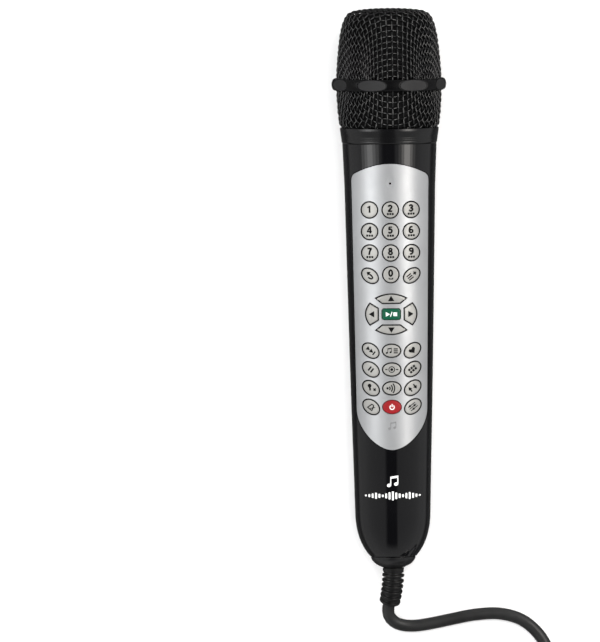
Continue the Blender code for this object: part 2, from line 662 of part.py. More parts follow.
def spare_cord():
    jacket = bpy.data.materials["cord_jacket"]
    span = COIL_PITCH * COIL_TURNS / 2
    inner, outer = COIL_MEAN - span - CORD_RADIUS, COIL_MEAN + span + CORD_RADIUS
    top = COIL_BASE + COIL_LAYERS * COIL_PITCH + 0.1
    edge = 2.2
    section = [(COIL_BASE, inner + edge), (COIL_BASE + edge, inner), (top - edge, inner), (top, inner + edge),
               (top, outer - edge), (top - edge, outer), (COIL_BASE + edge, outer), (COIL_BASE, outer - edge)]
    coil = turned("cord_coil", section, 32, jacket, None)
    coil.data.transform(Matrix.Rotation(math.pi / 2, 4, 'X'))
    coil.location = (COIL_CENTRE[0] * MM, COIL_CENTRE[1] * MM, 0)

    centre = Vector((*COIL_CENTRE, 0))
    clear = outer + CORD_RADIUS + GAP
    run = [p for p in smooth(CORD_ROUTE, 4.5) if (p - centre).xy.length > clear]
    curve_piece("cord", run, CORD_RADIUS, jacket, None, 2)

    strap = finish("tie_fabric", (0.015, 0.015, 0.016), 0.8)
    near = math.sqrt(inner**2 - (TIE_WIDTH / 2) ** 2) - GAP
    far = outer + GAP
    loop = [(near, COIL_BASE - GAP), (far, COIL_BASE - GAP), (far, top + GAP), (near, top + GAP)]
    around = offset(loop, TIE_THICK, True)
    vertices = [(side, -r, z) for side in (-TIE_WIDTH / 2, TIE_WIDTH / 2) for r, z in loop + around]
    faces = []
    for i in range(4):
        j = (i + 1) % 4
        faces += [(i, j, 4 + j, 4 + i), (8 + i, 8 + j, 12 + j, 12 + i), (i, j, 8 + j, 8 + i),
                  (4 + i, 4 + j, 12 + j, 12 + i)]
    tie = solid("cord_tie", vertices, faces, strap, None)
    tie.location = (COIL_CENTRE[0] * MM, COIL_CENTRE[1] * MM, 0)

    clear = top + CORD_RADIUS + GAP
    free = [p for p in smooth(TAIL_ROUTE, 3.5) if p.z > clear]
    tail_end = curve_piece("cord_tail", free, CORD_RADIUS, jacket, None, 2)
    tail_end.location = coil.location
    plug()


def plug():
    """A quarter-inch jack plug, lying across the coil and pointing along X."""
    boot = finish("plug_boot", (0.02, 0.02, 0.02), 0.5)
    nickel = finish("plug_metal", (0.75, 0.74, 0.72), 0.2, 1.0)
    end = BOOT_LENGTH
    collar_radius = JACK_RADIUS + 1.0
    boot_line = [(0, 0.0), (0, 3.9), (6, 4.5), (8, 5.3), (end - 1, 5.4), (end, 4.9), (end, 0.0)]
    sleeve_line = [(end + GAP, 0.0), (end + GAP, collar_radius), (end + 1.5, collar_radius),
                   (end + 1.5, JACK_RADIUS), (end + 21.5, JACK_RADIUS), (end + 21.5, 0.0)]
    tip_line = [(end + 22.3, 0.0), (end + 22.3, JACK_RADIUS), (end + 24.5, JACK_RADIUS), (end + 25.4, 2.3),
                (end + 26.6, 3.1), (end + 30.0, 1.0), (end + 30.3, 0.0)]
    start = Vector((*COIL_CENTRE, 0)) + Vector(TAIL_ROUTE[-1]) + Vector((2 * GAP, 0, 0))
    for name, line, material in (("plug_boot", boot_line, boot), ("plug_sleeve", sleeve_line, nickel),
                                 ("plug_tip", tip_line, nickel)):
        piece = turned_solid(name, line, 16, material, None)
        piece.rotation_euler = (0, 0, -math.pi / 2)
        piece.location = start * MM


def settle(frame, ring, top, tail_end):
    """Tip the microphone until the ring's lowest edge and the flat on the rear shell share the ground,
    and centre its length on the origin."""
    middle = (RING_LOW + RING_HIGH) / 2
    depth = RING_RADIUS - handle_radius(REST_STATION) + REST_DEPTH
    tilt = math.atan2(depth, middle - REST_STATION)
    turn = Matrix.Rotation(tilt, 4, 'X')
    low = min((turn @ v.co).z for v in ring.data.vertices)
    frame.rotation_euler = (tilt, 0, 0)
    far = max((turn @ v.co).y for v in top.data.vertices)
    near = min((turn @ v.co).y for v in tail_end.data.vertices)
    frame.location = (0, -(far + near) / 2, -low)


def main():
    clear_scene()
    frame = bpy.data.objects.new("microphone", None)
    bpy.context.collection.objects.link(frame)
    head(frame)
    collar(frame)
    shells(frame)
    keypad(frame)
    inside(frame)
    tail(frame)
    pieces = bpy.data.objects
    settle(frame, pieces["anti_roll_ring"], pieces["grille_upper"], pieces["strain_relief"])
    spare_cord()


main()
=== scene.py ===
"""Looks for the karaoke microphone: woven head, faceted ring, gloss shells, silver keypad, keys and cord.

Lengths are in millimetres in the microphone's own frame, as in the part: Y runs along the handle from the
end of the strain relief to the head, Z out of the keypad. The cord is in millimetres in the world.
"""

import json
import math

import bmesh
import bpy
import numpy as np
from mathutils import Matrix, Vector


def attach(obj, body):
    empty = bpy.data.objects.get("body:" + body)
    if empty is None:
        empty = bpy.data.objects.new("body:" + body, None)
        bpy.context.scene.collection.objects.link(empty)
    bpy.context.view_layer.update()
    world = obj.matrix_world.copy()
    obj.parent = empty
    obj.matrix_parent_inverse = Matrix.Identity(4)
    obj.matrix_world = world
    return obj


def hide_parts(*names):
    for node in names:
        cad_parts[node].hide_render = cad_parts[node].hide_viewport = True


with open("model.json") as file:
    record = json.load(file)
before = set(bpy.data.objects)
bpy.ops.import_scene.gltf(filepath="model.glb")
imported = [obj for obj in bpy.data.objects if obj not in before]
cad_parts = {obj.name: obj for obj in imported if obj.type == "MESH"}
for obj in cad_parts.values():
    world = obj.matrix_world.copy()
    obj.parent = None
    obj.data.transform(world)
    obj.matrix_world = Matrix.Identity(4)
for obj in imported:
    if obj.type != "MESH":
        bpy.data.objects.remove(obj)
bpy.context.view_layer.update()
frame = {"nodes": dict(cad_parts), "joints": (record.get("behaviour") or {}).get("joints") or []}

MM = 0.001
TURN = 2 * math.pi
MAIN = "microphone"

# The part's own stations and sizes
RELIEF_ROOT = 17.8
SHELL_TAIL = 23.4
COLLAR_FOOT = 226.3
COLLAR_TOP = 233.9
RING_LOW = 252.1
RING_HIGH = 257.9
RING_MIDDLE = (RING_LOW + RING_HIGH) / 2
HEAD_TOP = 292.2
HANDLE_TAPER = [(226.0, 23.1), (205.0, 22.25), (160.0, 21.3), (105.0, 20.05), (60.0, 18.85), (44.0, 18.45)]
HANDLE_TAIL = [(44.0, 18.45), (34.0, 18.2), (27.5, 15.0), (SHELL_TAIL, 11.4)]
WALL = 2.0
TAIL_OPENING = 8.0
SEAM_ANGLE = math.radians(0.4)
GRILLE_SHOULDER = [(260.6, 25.85), (277.0, 24.7), (288.5, 23.6), (290.6, 18.6)]
GRILLE_CROWN = [(290.6, 18.6), (291.6, 16.0), (HEAD_TOP, 10.0), (HEAD_TOP, 0.0)]
LOWER_GRILLE = [(COLLAR_TOP + 0.3, 24.35), (238.1, 25.0), (243.0, 25.5), (RING_LOW - 0.3, 26.0)]
RING_RADIUS = 28.1
RING_BORE = 24.6
FACETS = 8
FACET_FLAT = 26.95
RING_CROWN = 1.6               # how far the ring's rounded outside stands out from its body
HEAD_TWIST = math.radians(4)
PANEL_APEX = 216.6
PANEL_CORNER = (18.9, 210.3)
PANEL_SIDE_TOP = (18.75, 204.0)
PANEL_BOTTOM = [(17.25, 96.0), (17.0, 86.0), (7.0, 76.4), (0.0, 76.4)]
PANEL_THICK = 1.2
LIGHT_STATION = 207.0
LIGHT_HOLE = 0.55
DISH = (8.0, 2.0)
DISH_DEPTH = 0.09              # of the lens's height
LEDGE = 1.5
COLUMN = 10.2
DIGIT_ROWS = (194.1, 183.5, 173.0, 162.4)
FUNCTION_ROWS = (125.1, 115.9, 106.7, 97.5)
PAD_CENTRE = 143.0
PAD_REACH = (9.45, 7.6)
KEY_CLEARANCE = 0.6
KEY_PROUD = 0.35
KEY_LIP = 0.7
COLOURED_GROWTH = 0.3          # the play and power keys fill more of their openings
KEY_LIP_Z = (10.9, 11.5)
ROUND_KEY = (3.75, 3.75)
OVAL_KEY = (4.25, 3.0)
OVAL_LEAN = math.radians(38)
SIDE_OVAL_DROP = 0.6           # the ovals beside the zero sit a little lower than it
LONG_ARROW = (7.1, 4.35, 2.05, 0.2)
SHORT_ARROW = (5.05, 2.75, 2.85, 0.85)
PLAY_KEY = (4.2, 2.35, 0.8)    # half width, half height and corner radius
KEY_EDGE = 0.9                 # from a key's side in to its full height
INK_THICK = 0.05
INK_SINK = 0.12
INK_STEP = 0.7                 # the ink is cut this often across, so that it follows the curve
FAR = 40.0                     # beyond the handle's surface, for the ends of cutting shapes
CORD_RADIUS = 3.0
RELIEF_BORE = 3.35
RELIEF_CORE = 4.25
SLEEVE_CORE = 4.0
RELIEF_SIDEWAYS = -2.0
RELIEF_DROP = -4.6
RIB_COUNT = 6
RIB_PITCH = 2.55
CORD_ROUTE = [(-2.06, -145.08, 10.77), (-2.7, -148.0, 9.1), (-2.1, -151.6, 7.2), (0.9, -154.7, 5.4),
              (5.6, -156.2, 4.0), (11.5, -156.3, 3.2), (19.0, -155.2, 3.02), (29.0, -153.2, 3.0),
              (40.0, -151.2, 3.0), (52.0, -150.8, 3.0), (63.0, -154.0, 3.0), (71.5, -161.5, 3.0),
              (77.0, -172.0, 3.1), (80.8, -185.0, 3.4), (83.2, -200.0, 3.8), (84.2, -214.0, 4.05),
              (84.3, -227.7, 4.1)]
COIL_CENTRE = (36.0, -228.0)
COIL_BASE = 1.1
COIL_TURNS = 4
COIL_LAYERS = 3
COIL_PITCH = 6.15
COIL_MEAN = 36.0
TIE_THICK = 0.8
TIE_WIDTH = 12.0
TAIL_ROUTE = [(-19.0, -13.3, 17.8), (-22.5, -4.0, 20.3), (-23.0, 6.2, 22.7), (-21.0, 14.5, 24.2),
              (-16.0, 20.8, 25.2), (-11.0, 23.5, 25.5), (-6.3, 24.0, 25.5)]
BOOT_LENGTH = 22.0
JACK_RADIUS = 3.175

# Woven wire
WEAVE_PITCH = 2.8
WIRE_RADIUS = 0.35
WEAVE_LIFT = 0.37
WEAVE_INSET = WIRE_RADIUS + WEAVE_LIFT
WEAVE_EASE = (0.15, 0.75)      # how far the net eases from fixed links: everywhere, and more between wires

# Camera: a long lens straight above, with the handle right of the middle
VIEW_WIDTH = 294.0
CAMERA_HEIGHT = 8000.0
MID_HEIGHT = 28.0
CAMERA_AIM = (-44.65, -6.1)
CAMERA_ROLL = math.radians(-0.55)

# Light: each soft box has a place, its strips' widths and powers, and a colour
BOX_LEFT = ((-0.78, 0.30, 0.68), [(0.88, 1.9), (0.52, 1.3), (0.24, 0.8)], (1, 1, 1))
BOX_RIGHT = ((0.715, 0.30, 0.765), [(0.84, 1.3), (0.52, 2.1), (0.26, 1.6)], (1.0, 0.96, 0.92))
BOX_AIM = (0.0, 0.30, 0.05)
BOX_LENGTH = 0.92
STRIP_STEP = 0.02
FILL_POWER = 98
WALL_LEVELS = [(-1.0, 0.10), (-0.60, 0.06), (-0.45, 0.40), (0.0, 0.52), (0.5, 0.42), (0.95, 0.34)]
BAND_ACROSS = [(-0.40, 1.0), (-0.27, 0.02), (0.18, 0.02), (0.27, 1.0)]
BAND_RISE = [(0.35, 0.0), (0.60, 1.0)]

# Materials
COAT_ROUGHNESS = 0.03
NOISE_BAND = (0.3, 0.7)        # the part of the noise's range that the finish uses


def microphone_matrix():
    """The microphone's own frame in the world, from the keys' axis and the anti-roll ring."""
    axis = next(j["axis"] for j in frame["joints"] if j["name"] == "key_5_press")
    turn = Matrix.Rotation(math.atan2(axis[1], -axis[2]), 4, 'X')
    back = turn.inverted()
    points = np.array([back @ v.co for v in frame["nodes"]["anti_roll_ring"].data.vertices])
    middle = Vector((points.min(0) + points.max(0)) / 2)
    middle.x = 0.0
    return Matrix.Translation(turn @ (middle - Vector((0, RING_MIDDLE * MM, 0)))) @ turn


MIC = microphone_matrix()


# ---------------------------------------------------------------- lines and outlines

def bezier(points, steps):
    p = [Vector(q) for q in points]
    out = []
    for i in range(steps + 1):
        t = i / steps
        s = 1 - t
        out.append(tuple(p[0] * s**3 + p[1] * 3 * s * s * t + p[2] * 3 * s * t * t + p[3] * t**3))
    return out


def offset(points, distance, closed):
    """A line moved sideways, to the right of its direction, with mitred corners."""
    count = len(points)
    moved = []
    for i, here in enumerate(points):
        before = points[i - 1] if closed or i else None
        after = points[(i + 1) % count] if closed or i < count - 1 else None
        normals = []
        for a, b in ((before, here), (here, after)):
            if a is not None and b is not None:
                run = (Vector(b) - Vector(a)).normalized()
                normals.append(Vector((run.y, -run.x)))
        middle = sum(normals, Vector((0, 0))).normalized()
        stretch = distance / max(middle.dot(normals[0]), 0.5)
        moved.append((here[0] + middle.x * stretch, here[1] + middle.y * stretch))
    return moved


def smooth(points, spacing):
    """Evenly spaced points on one smooth curve through the given ones."""
    points = [Vector(p) for p in points]
    ends = [points[0] * 2 - points[1]] + points + [points[-1] * 2 - points[-2]]
    fine = []
    for a, b, c, d in zip(ends, ends[1:], ends[2:], ends[3:]):
        for t in np.linspace(0, 1, 16, endpoint=False):
            fine.append((b * 2 + (c - a) * t + (a * 2 - b * 5 + c * 4 - d) * t**2
                         + (b * 3 - a - c * 3 + d) * t**3) / 2)
    fine.append(points[-1])
    run = np.concatenate([[0.0], np.cumsum([(q - p).length for p, q in zip(fine, fine[1:])])])
    stops = np.linspace(0, run[-1], max(int(run[-1] / spacing), 2) + 1)
    return [Vector([np.interp(s, run, [p[i] for p in fine]) for i in range(len(fine[0]))]) for s in stops]


def handle_profile(steps):
    taper = [tuple(p) for p in smooth([Vector((y, r)) for y, r in HANDLE_TAPER], 6.0)]
    return taper[:-1] + bezier(HANDLE_TAIL, steps)


PROFILE = sorted(handle_profile(24))
PROFILE_STATIONS = [y for y, _ in PROFILE]
PROFILE_RADII = [r for _, r in PROFILE]


def handle_radius(station):
    return float(np.interp(station, PROFILE_STATIONS, PROFILE_RADII))


def panel_outline():
    half = [(0.0, PANEL_APEX)]
    rise = PANEL_APEX - PANEL_CORNER[1]
    for step in np.linspace(0.05, 0.92, 14):
        half.append((PANEL_CORNER[0] * step, PANEL_APEX - rise * step**2 * 0.92))
    corner = [(PANEL_CORNER[0] * 0.92, PANEL_APEX - rise * 0.92**3),
              (PANEL_CORNER[0] * 0.985, PANEL_CORNER[1] + 0.25),
              (PANEL_CORNER[0] * 0.998, PANEL_CORNER[1] - 0.6),
              (PANEL_CORNER[0] * 0.998, PANEL_CORNER[1] - 2.6)]
    half += bezier(corner, 6)[1:]
    half.append(PANEL_SIDE_TOP)
    half += bezier(PANEL_BOTTOM, 26)[:-1]
    bottom = [PANEL_BOTTOM[-1]]
    return half + bottom + [(-x, y) for x, y in reversed(half[1:])]


def box_outline(x_low, y_low, x_high, y_high, corner, steps=6):
    outline = []
    for cx, cy, start in ((x_high - corner, y_low + corner, -90), (x_high - corner, y_high - corner, 0),
                          (x_low + corner, y_high - corner, 90), (x_low + corner, y_low + corner, 180)):
        for step in range(steps + 1):
            angle = math.radians(start + 90 * step / steps)
            outline.append((cx + corner * math.cos(angle), cy + corner * math.sin(angle)))
    return outline


def ellipse(centre, radii, lean=0.0, sides=48):
    outline = []
    for i in range(sides):
        angle = TURN * (i + 0.5) / sides
        u, v = radii[0] * math.cos(angle), radii[1] * math.sin(angle)
        outline.append((centre[0] + u * math.cos(lean) - v * math.sin(lean),
                        centre[1] + u * math.sin(lean) + v * math.cos(lean)))
    return outline


def arrow_outline(half_width, half_flat, half_height, shoulder):
    """An arrow key: flat towards the middle of the pad, slanted ends and a shallow arc outside."""
    outline = [(-half_flat, -half_height), (half_flat, -half_height)]
    for i in range(25):
        across = half_width * math.cos(math.pi * i / 24)
        lift = (half_height - shoulder) * (1 - (across / half_width) ** 2)
        outline.append((across, shoulder + lift))
    return outline


def key_plan():
    """Every key: its name, the place of its centre, its outline about that centre, and its lean."""
    plan = []

    def add(name, x, y, outline, lean=0.0):
        plan.append((f"key_{name}", (x, y), outline, lean))

    def add_oval(name, side, y):
        add(name, side * COLUMN, y, ellipse((0, 0), OVAL_KEY, side * OVAL_LEAN), side * OVAL_LEAN)

    for number in range(1, 10):
        row, column = divmod(number - 1, 3)
        add(number, (column - 1) * COLUMN, DIGIT_ROWS[row], ellipse((0, 0), ROUND_KEY))
    last = DIGIT_ROWS[3]
    add_oval("back", -1, last - SIDE_OVAL_DROP)
    add("0", 0.0, last, ellipse((0, 0), ROUND_KEY))
    add_oval("reserve", 1, last - SIDE_OVAL_DROP)
    across, along = PAD_REACH
    long_arrow, short_arrow = arrow_outline(*LONG_ARROW), arrow_outline(*SHORT_ARROW)
    add("up", 0.0, PAD_CENTRE + along, long_arrow)
    add("down", 0.0, PAD_CENTRE - along, [(-x, -y) for x, y in long_arrow], math.pi)
    add("left", -across, PAD_CENTRE, [(-y, x) for x, y in short_arrow], math.pi / 2)
    add("right", across, PAD_CENTRE, [(y, -x) for x, y in short_arrow], -math.pi / 2)
    half_width, half_height, corner = PLAY_KEY
    add("play", 0.0, PAD_CENTRE, box_outline(-half_width, -half_height, half_width, half_height, corner))
    names = [("jump", "song", "favourite"), ("pause", "record", "function"),
             ("mic_volume", "echo", "key_shift"), ("tempo", "power", "mode")]
    for row, trio in zip(FUNCTION_ROWS, names):
        for side, name in zip((-1, 0, 1), trio):
            add_oval(name, side, row)
    return plan


# ---------------------------------------------------------------- meshes

def tunnel_faces(rows, columns, loop_rows, loop_columns):
    faces = []
    for i in range(rows if loop_rows else rows - 1):
        for j in range(columns if loop_columns else columns - 1):
            a, b = i * columns + j, i * columns + (j + 1) % columns
            c, d = (i + 1) % rows * columns + (j + 1) % columns, (i + 1) % rows * columns + j
            faces.append((a, b, c, d))
    return faces


def linked(name, data):
    piece = bpy.data.objects.new(name, data)
    bpy.context.scene.collection.objects.link(piece)
    return piece


def make(name, vertices, faces, material, matrix=None, sharp=35):
    """A mesh object from millimetre points, in the microphone's frame unless another is given."""
    mesh = bpy.data.meshes.new(name)
    mesh.from_pydata([Vector(v) * MM for v in vertices], [], faces)
    shape = bmesh.new()
    shape.from_mesh(mesh)
    bmesh.ops.recalc_face_normals(shape, faces=shape.faces)
    shape.to_mesh(mesh)
    shape.free()
    mesh.transform(MIC if matrix is None else matrix)
    mesh.shade_smooth()
    mesh.set_sharp_from_angle(angle=math.radians(sharp))
    mesh.materials.append(material)
    return linked(name, mesh)


def swept(line, angle):
    return [(r * math.cos(angle), y, r * math.sin(angle)) for y, r in line]


def turned(name, loop, segments, material, start=0.0, end=TURN, matrix=None, sharp=35):
    whole = end - start >= TURN - 1e-6
    steps = segments if whole else segments + 1
    vertices = []
    for i in range(steps):
        angle = start + (end - start) * i / segments
        vertices += swept(loop, angle)
    faces = tunnel_faces(steps, len(loop), whole, True)
    if not whole:
        last = (steps - 1) * len(loop)
        faces += [tuple(range(len(loop))), tuple(range(last, last + len(loop)))]
    return make(name, vertices, faces, material, matrix, sharp)


def turned_solid(name, line, segments, material, matrix=None, sharp=35):
    inner = line[1:-1]
    vertices = []
    for i in range(segments):
        vertices += swept(inner, TURN * i / segments)
    faces = tunnel_faces(segments, len(inner), True, False)
    for station, ring in ((line[0][0], 0), (line[-1][0], len(inner) - 1)):
        vertices.append((0, station, 0))
        hub = len(vertices) - 1
        for i in range(segments):
            faces.append((hub, i * len(inner) + ring, (i + 1) % segments * len(inner) + ring))
    return make(name, vertices, faces, material, matrix, sharp)


def prism(name, outline, low, high, material):
    count = len(outline)
    vertices = [(x, y, low) for x, y in outline] + [(x, y, high) for x, y in outline]
    faces = [tuple(range(count)), tuple(range(count, 2 * count))]
    faces += [(i, (i + 1) % count, count + (i + 1) % count, count + i) for i in range(count)]
    return make(name, vertices, faces, material)


def joined(pieces):
    """Several cutting shapes as one object."""
    shape = bmesh.new()
    for piece in pieces:
        shape.from_mesh(piece.data)
    shape.to_mesh(pieces[0].data)
    shape.free()
    for piece in pieces[1:]:
        bpy.data.objects.remove(piece)
    return pieces[0]


def cut(target, operation, cutter):
    """A Boolean step, applied at once, after which its cutter is gone."""
    step = target.modifiers.new("cut", 'BOOLEAN')
    step.operation = operation
    step.solver = 'EXACT'
    step.object = cutter
    apply_modifiers(target)
    bpy.data.objects.remove(cutter)


def apply_modifiers(target):
    bpy.context.view_layer.update()
    graph = bpy.context.evaluated_depsgraph_get()
    mesh = bpy.data.meshes.new_from_object(target.evaluated_get(graph))
    target.modifiers.clear()
    target.data = mesh


def soften(target, width, angle=40, segments=2):
    """Rounds the sharp edges a little, as moulding does."""
    step = target.modifiers.new("edges", 'BEVEL')
    step.width = width * MM
    step.segments = segments
    step.limit_method = 'ANGLE'
    step.angle_limit = math.radians(angle)
    step.use_clamp_overlap = True
    apply_modifiers(target)


def follow_handle(target):
    """Gives every corner that lies along the handle's turned surface the surface's own normal."""
    mesh = target.data
    mesh.shade_smooth()
    mesh.set_sharp_from_angle(angle=math.radians(30))
    back = MIC.inverted()
    turn = MIC.to_3x3()
    radial = []
    on_surface = []
    for vertex in mesh.vertices:
        local = back @ vertex.co
        y = local.y / MM
        slope = (handle_radius(y + 0.5) - handle_radius(y - 0.5))
        normal = Vector((local.x, 0, local.z)).normalized() - Vector((0, slope, 0))
        radial.append(normal.normalized())
        on_surface.append(abs(math.hypot(local.x, local.z) / MM - handle_radius(y)) < 0.03)
    normals = [Vector(n.vector) for n in mesh.corner_normals]
    for face in mesh.polygons:
        if all(on_surface[v] for v in face.vertices):
            for corner in face.loop_indices:
                normals[corner] = turn @ radial[mesh.loops[corner].vertex_index]
    mesh.normals_split_custom_set(normals)


def settle(piece, body, slot, *nodes):
    """The piece rides on a body and stands for CAD nodes, which are hidden. The slot is not used."""
    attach(piece, body)
    if nodes:
        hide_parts(*nodes)
    return piece


# ---------------------------------------------------------------- materials

def new_material(name, colour, roughness, metallic=0.0, coat=0.0, specular=0.5):
    material = bpy.data.materials.new(name)
    material.use_nodes = True
    shader = material.node_tree.nodes["Principled BSDF"]
    shader.inputs["Base Color"].default_value = (*colour, 1.0)
    shader.inputs["Roughness"].default_value = roughness
    shader.inputs["Metallic"].default_value = metallic
    shader.inputs["Specular IOR Level"].default_value = specular
    shader.inputs["Coat Weight"].default_value = coat
    shader.inputs["Coat Roughness"].default_value = COAT_ROUGHNESS
    return material, material.node_tree.nodes, material.node_tree.links, shader


def noise(nodes, links, scale, detail=3.0):
    """Noise over the object's own place, in metres."""
    source = nodes.new("ShaderNodeTexCoord").outputs["Object"]
    texture = nodes.new("ShaderNodeTexNoise")
    texture.inputs["Scale"].default_value = scale
    texture.inputs["Detail"].default_value = detail
    links.new(source, texture.inputs["Vector"])
    return texture.outputs["Fac"]


def spread(nodes, links, source, low, high):
    """Noise turned into a value between two others."""
    step = nodes.new("ShaderNodeMapRange")
    for label, value in zip(("From Min", "From Max", "To Min", "To Max"), (*NOISE_BAND, low, high)):
        step.inputs[label].default_value = value
    links.new(source, step.inputs["Value"])
    return step.outputs["Result"]


def tint(nodes, links, shader, source, dark, light):
    ramp = nodes.new("ShaderNodeValToRGB")
    for element, place, colour in zip(ramp.color_ramp.elements, NOISE_BAND, (dark, light)):
        element.position = place
        element.color = (*colour, 1.0)
    links.new(source, ramp.inputs["Fac"])
    links.new(ramp.outputs["Color"], shader.inputs["Base Color"])


def bump(nodes, links, shader, source, strength, distance):
    step = nodes.new("ShaderNodeBump")
    step.inputs["Strength"].default_value = strength
    step.inputs["Distance"].default_value = distance * MM
    links.new(source, step.inputs["Height"])
    links.new(step.outputs["Normal"], shader.inputs["Normal"])


def grained(name, dark, light, rough, grain, bump_height, metallic=0.0, coat=0.0, specular=0.5, patch=60.0):
    """A moulded, painted or rubber surface: slow colour change, uneven roughness and a fine grain.

    A colour given as one number is a plain grey.
    """
    dark, light = (colour if isinstance(colour, tuple) else (colour,) * 3 for colour in (dark, light))
    middle = tuple((a + b) / 2 for a, b in zip(dark, light))
    material, nodes, links, shader = new_material(name, middle, sum(rough) / 2, metallic, coat,
                                                  specular=specular)
    slow = noise(nodes, links, patch, 4.0)
    tint(nodes, links, shader, slow, dark, light)
    links.new(spread(nodes, links, noise(nodes, links, patch * 3.1, 5.0), *rough),
              shader.inputs["Roughness"])
    bump(nodes, links, shader, noise(nodes, links, grain, 2.0), 0.6, bump_height)
    return material


MATERIALS = {
    "shell": grained("shell_gloss_black", (0.0020, 0.0020, 0.0024), (0.0036, 0.0036, 0.0042), (0.05, 0.09),
                     900, 0.003, patch=25),
    "collar": grained("collar_satin_black", (0.0030, 0.0030, 0.0033), (0.005, 0.005, 0.0054), (0.13, 0.20),
                      2500, 0.004),
    "panel": grained("panel_satin_silver", (0.51, 0.52, 0.53), (0.56, 0.57, 0.58), (0.38, 0.45), 9000, 0.005,
                     metallic=0.75),
    "key": grained("key_light_grey", (0.31, 0.306, 0.290), (0.37, 0.366, 0.348), (0.30, 0.38), 5000, 0.010,
                   metallic=0.35),
    # Near black on the keys' lips and side walls: painted shade, standing in for the shadow in the gap round
    # each key.
    "painted_gap_shade": grained("key_skirt_dark", 0.004, 0.008, (0.5, 0.65), 5000, 0.012),
    "green": grained("key_play_green", (0.0006, 0.052, 0.025), (0.0012, 0.074, 0.036), (0.3, 0.4), 5000,
                     0.010, specular=0.35),
    "red": grained("key_power_red", (0.20, 0.0035, 0.006), (0.26, 0.005, 0.008), (0.3, 0.4), 5000, 0.010,
                   specular=0.4),
    "print": grained("print_dark", (0.003, 0.003, 0.0033), (0.006, 0.006, 0.0063), (0.55, 0.7), 6000, 0.003,
                     specular=0.12),
    "print_white": grained("print_white", (0.74, 0.74, 0.73), (0.82, 0.82, 0.81), (0.4, 0.5), 6000, 0.003),
    "print_grey": grained("print_grey", (0.15, 0.15, 0.155), (0.19, 0.19, 0.195), (0.4, 0.5), 6000, 0.003),
    "wire": grained("wire_black_enamel", (0.0015, 0.0015, 0.0017), (0.003, 0.003, 0.0033), (0.08, 0.15), 4000,
                    0.006, specular=1.0),
    "ring": grained("ring_satin_rubber", (0.0012, 0.0012, 0.0014), (0.003, 0.003, 0.0032), (0.20, 0.30), 3500,
                    0.008, specular=0.15),
    "facet": grained("ring_facet_rubber", (0.014, 0.014, 0.0145), (0.021, 0.021, 0.0215), (0.42, 0.52), 3500,
                     0.010, specular=0.2),
    "foam": grained("foam_open_cell", 0.002, 0.007, (0.9, 1.0), 1400, 0.5, specular=0.1, patch=500),
    "tail": grained("tail_satin_black", (0.005, 0.005, 0.0055), (0.009, 0.009, 0.0095), (0.25, 0.34), 2500,
                    0.010),
    "relief": grained("relief_rubber", 0.004, 0.007, (0.30, 0.40), 3000, 0.02, specular=0.35),
    "cord": grained("cord_jacket", 0.010, 0.017, (0.34, 0.46), 2500, 0.020, patch=90),
    "tie": grained("tie_fabric", (0.008, 0.008, 0.009), (0.024, 0.024, 0.026), (0.8, 0.95), 3500, 0.25,
                   specular=0.2, patch=900),
    "boot": grained("plug_boot_rubber", (0.010, 0.010, 0.011), (0.018, 0.018, 0.019), (0.4, 0.5), 3000, 0.02),
    "nickel": grained("plug_nickel", (0.66, 0.65, 0.62), (0.76, 0.75, 0.72), (0.12, 0.22), 6000, 0.003,
                      metallic=1.0),
    "steel": grained("screw_steel", (0.28, 0.28, 0.29), (0.38, 0.38, 0.39), (0.28, 0.42), 5000, 0.01,
                     metallic=1.0),
    "capsule": grained("capsule_aluminium", (0.5, 0.5, 0.51), (0.6, 0.6, 0.61), (0.3, 0.4), 5000, 0.01,
                       metallic=1.0),
    "cushion": grained("capsule_rubber", 0.012, 0.02, (0.7, 0.85), 3000, 0.03),
    "mat": grained("mat_silicone", (0.30, 0.30, 0.29), (0.36, 0.36, 0.35), (0.6, 0.75), 3000, 0.02),
    "board": grained("board_solder_mask", (0.006, 0.10, 0.04), (0.012, 0.14, 0.06), (0.3, 0.45), 2500, 0.02,
                     patch=200),
    "chip": grained("chip_package", 0.014, 0.024, (0.45, 0.6), 5000, 0.02),
    "lens": grained("light_lens", (0.02, 0.004, 0.004), (0.04, 0.008, 0.008), (0.08, 0.14), 3000, 0.002,
                    coat=0.5),
    "lead": grained("lead_sleeve", 0.010, 0.018, (0.4, 0.5), 3000, 0.02),
    "nylon": grained("clamp_nylon", (0.46, 0.44, 0.38), (0.54, 0.52, 0.46), (0.5, 0.62), 3000, 0.02),
}


# ---------------------------------------------------------------- camera and cord

def make_camera():
    data = bpy.data.cameras.new("camera")
    data.sensor_fit = 'HORIZONTAL'
    data.sensor_width = 36.0
    data.lens = data.sensor_width * (CAMERA_HEIGHT - MID_HEIGHT) / VIEW_WIDTH
    data.clip_end = 20.0
    camera = linked("camera", data)
    camera.location = (CAMERA_AIM[0] * MM, CAMERA_AIM[1] * MM, CAMERA_HEIGHT * MM)
    camera.rotation_euler = (0, 0, CAMERA_ROLL)
    bpy.context.scene.camera = camera


def coil_turns():
    """Twelve turns in three layers: in, up and out, up and in again, clockwise from above."""
    steps = 48
    climb = 8
    span = COIL_PITCH * COIL_TURNS
    points = []
    angle = 0.0
    for layer in range(COIL_LAYERS):
        z = COIL_BASE + CORD_RADIUS + layer * COIL_PITCH
        start, change = COIL_MEAN + span / 2, -span
        if layer % 2:
            start, change = COIL_MEAN - span / 2, span
        for i in range(1, COIL_TURNS * steps + 1):
            angle -= TURN / steps
            radius = start + change * i / (COIL_TURNS * steps)
            points.append((radius * math.cos(angle), radius * math.sin(angle), z))
        if layer < COIL_LAYERS - 1:
            for i in range(1, climb + 1):
                angle -= TURN / steps
                lift = COIL_PITCH * (1 - math.cos(math.pi * i / climb)) / 2
                points.append((radius * math.cos(angle), radius * math.sin(angle), z + lift))
    return points


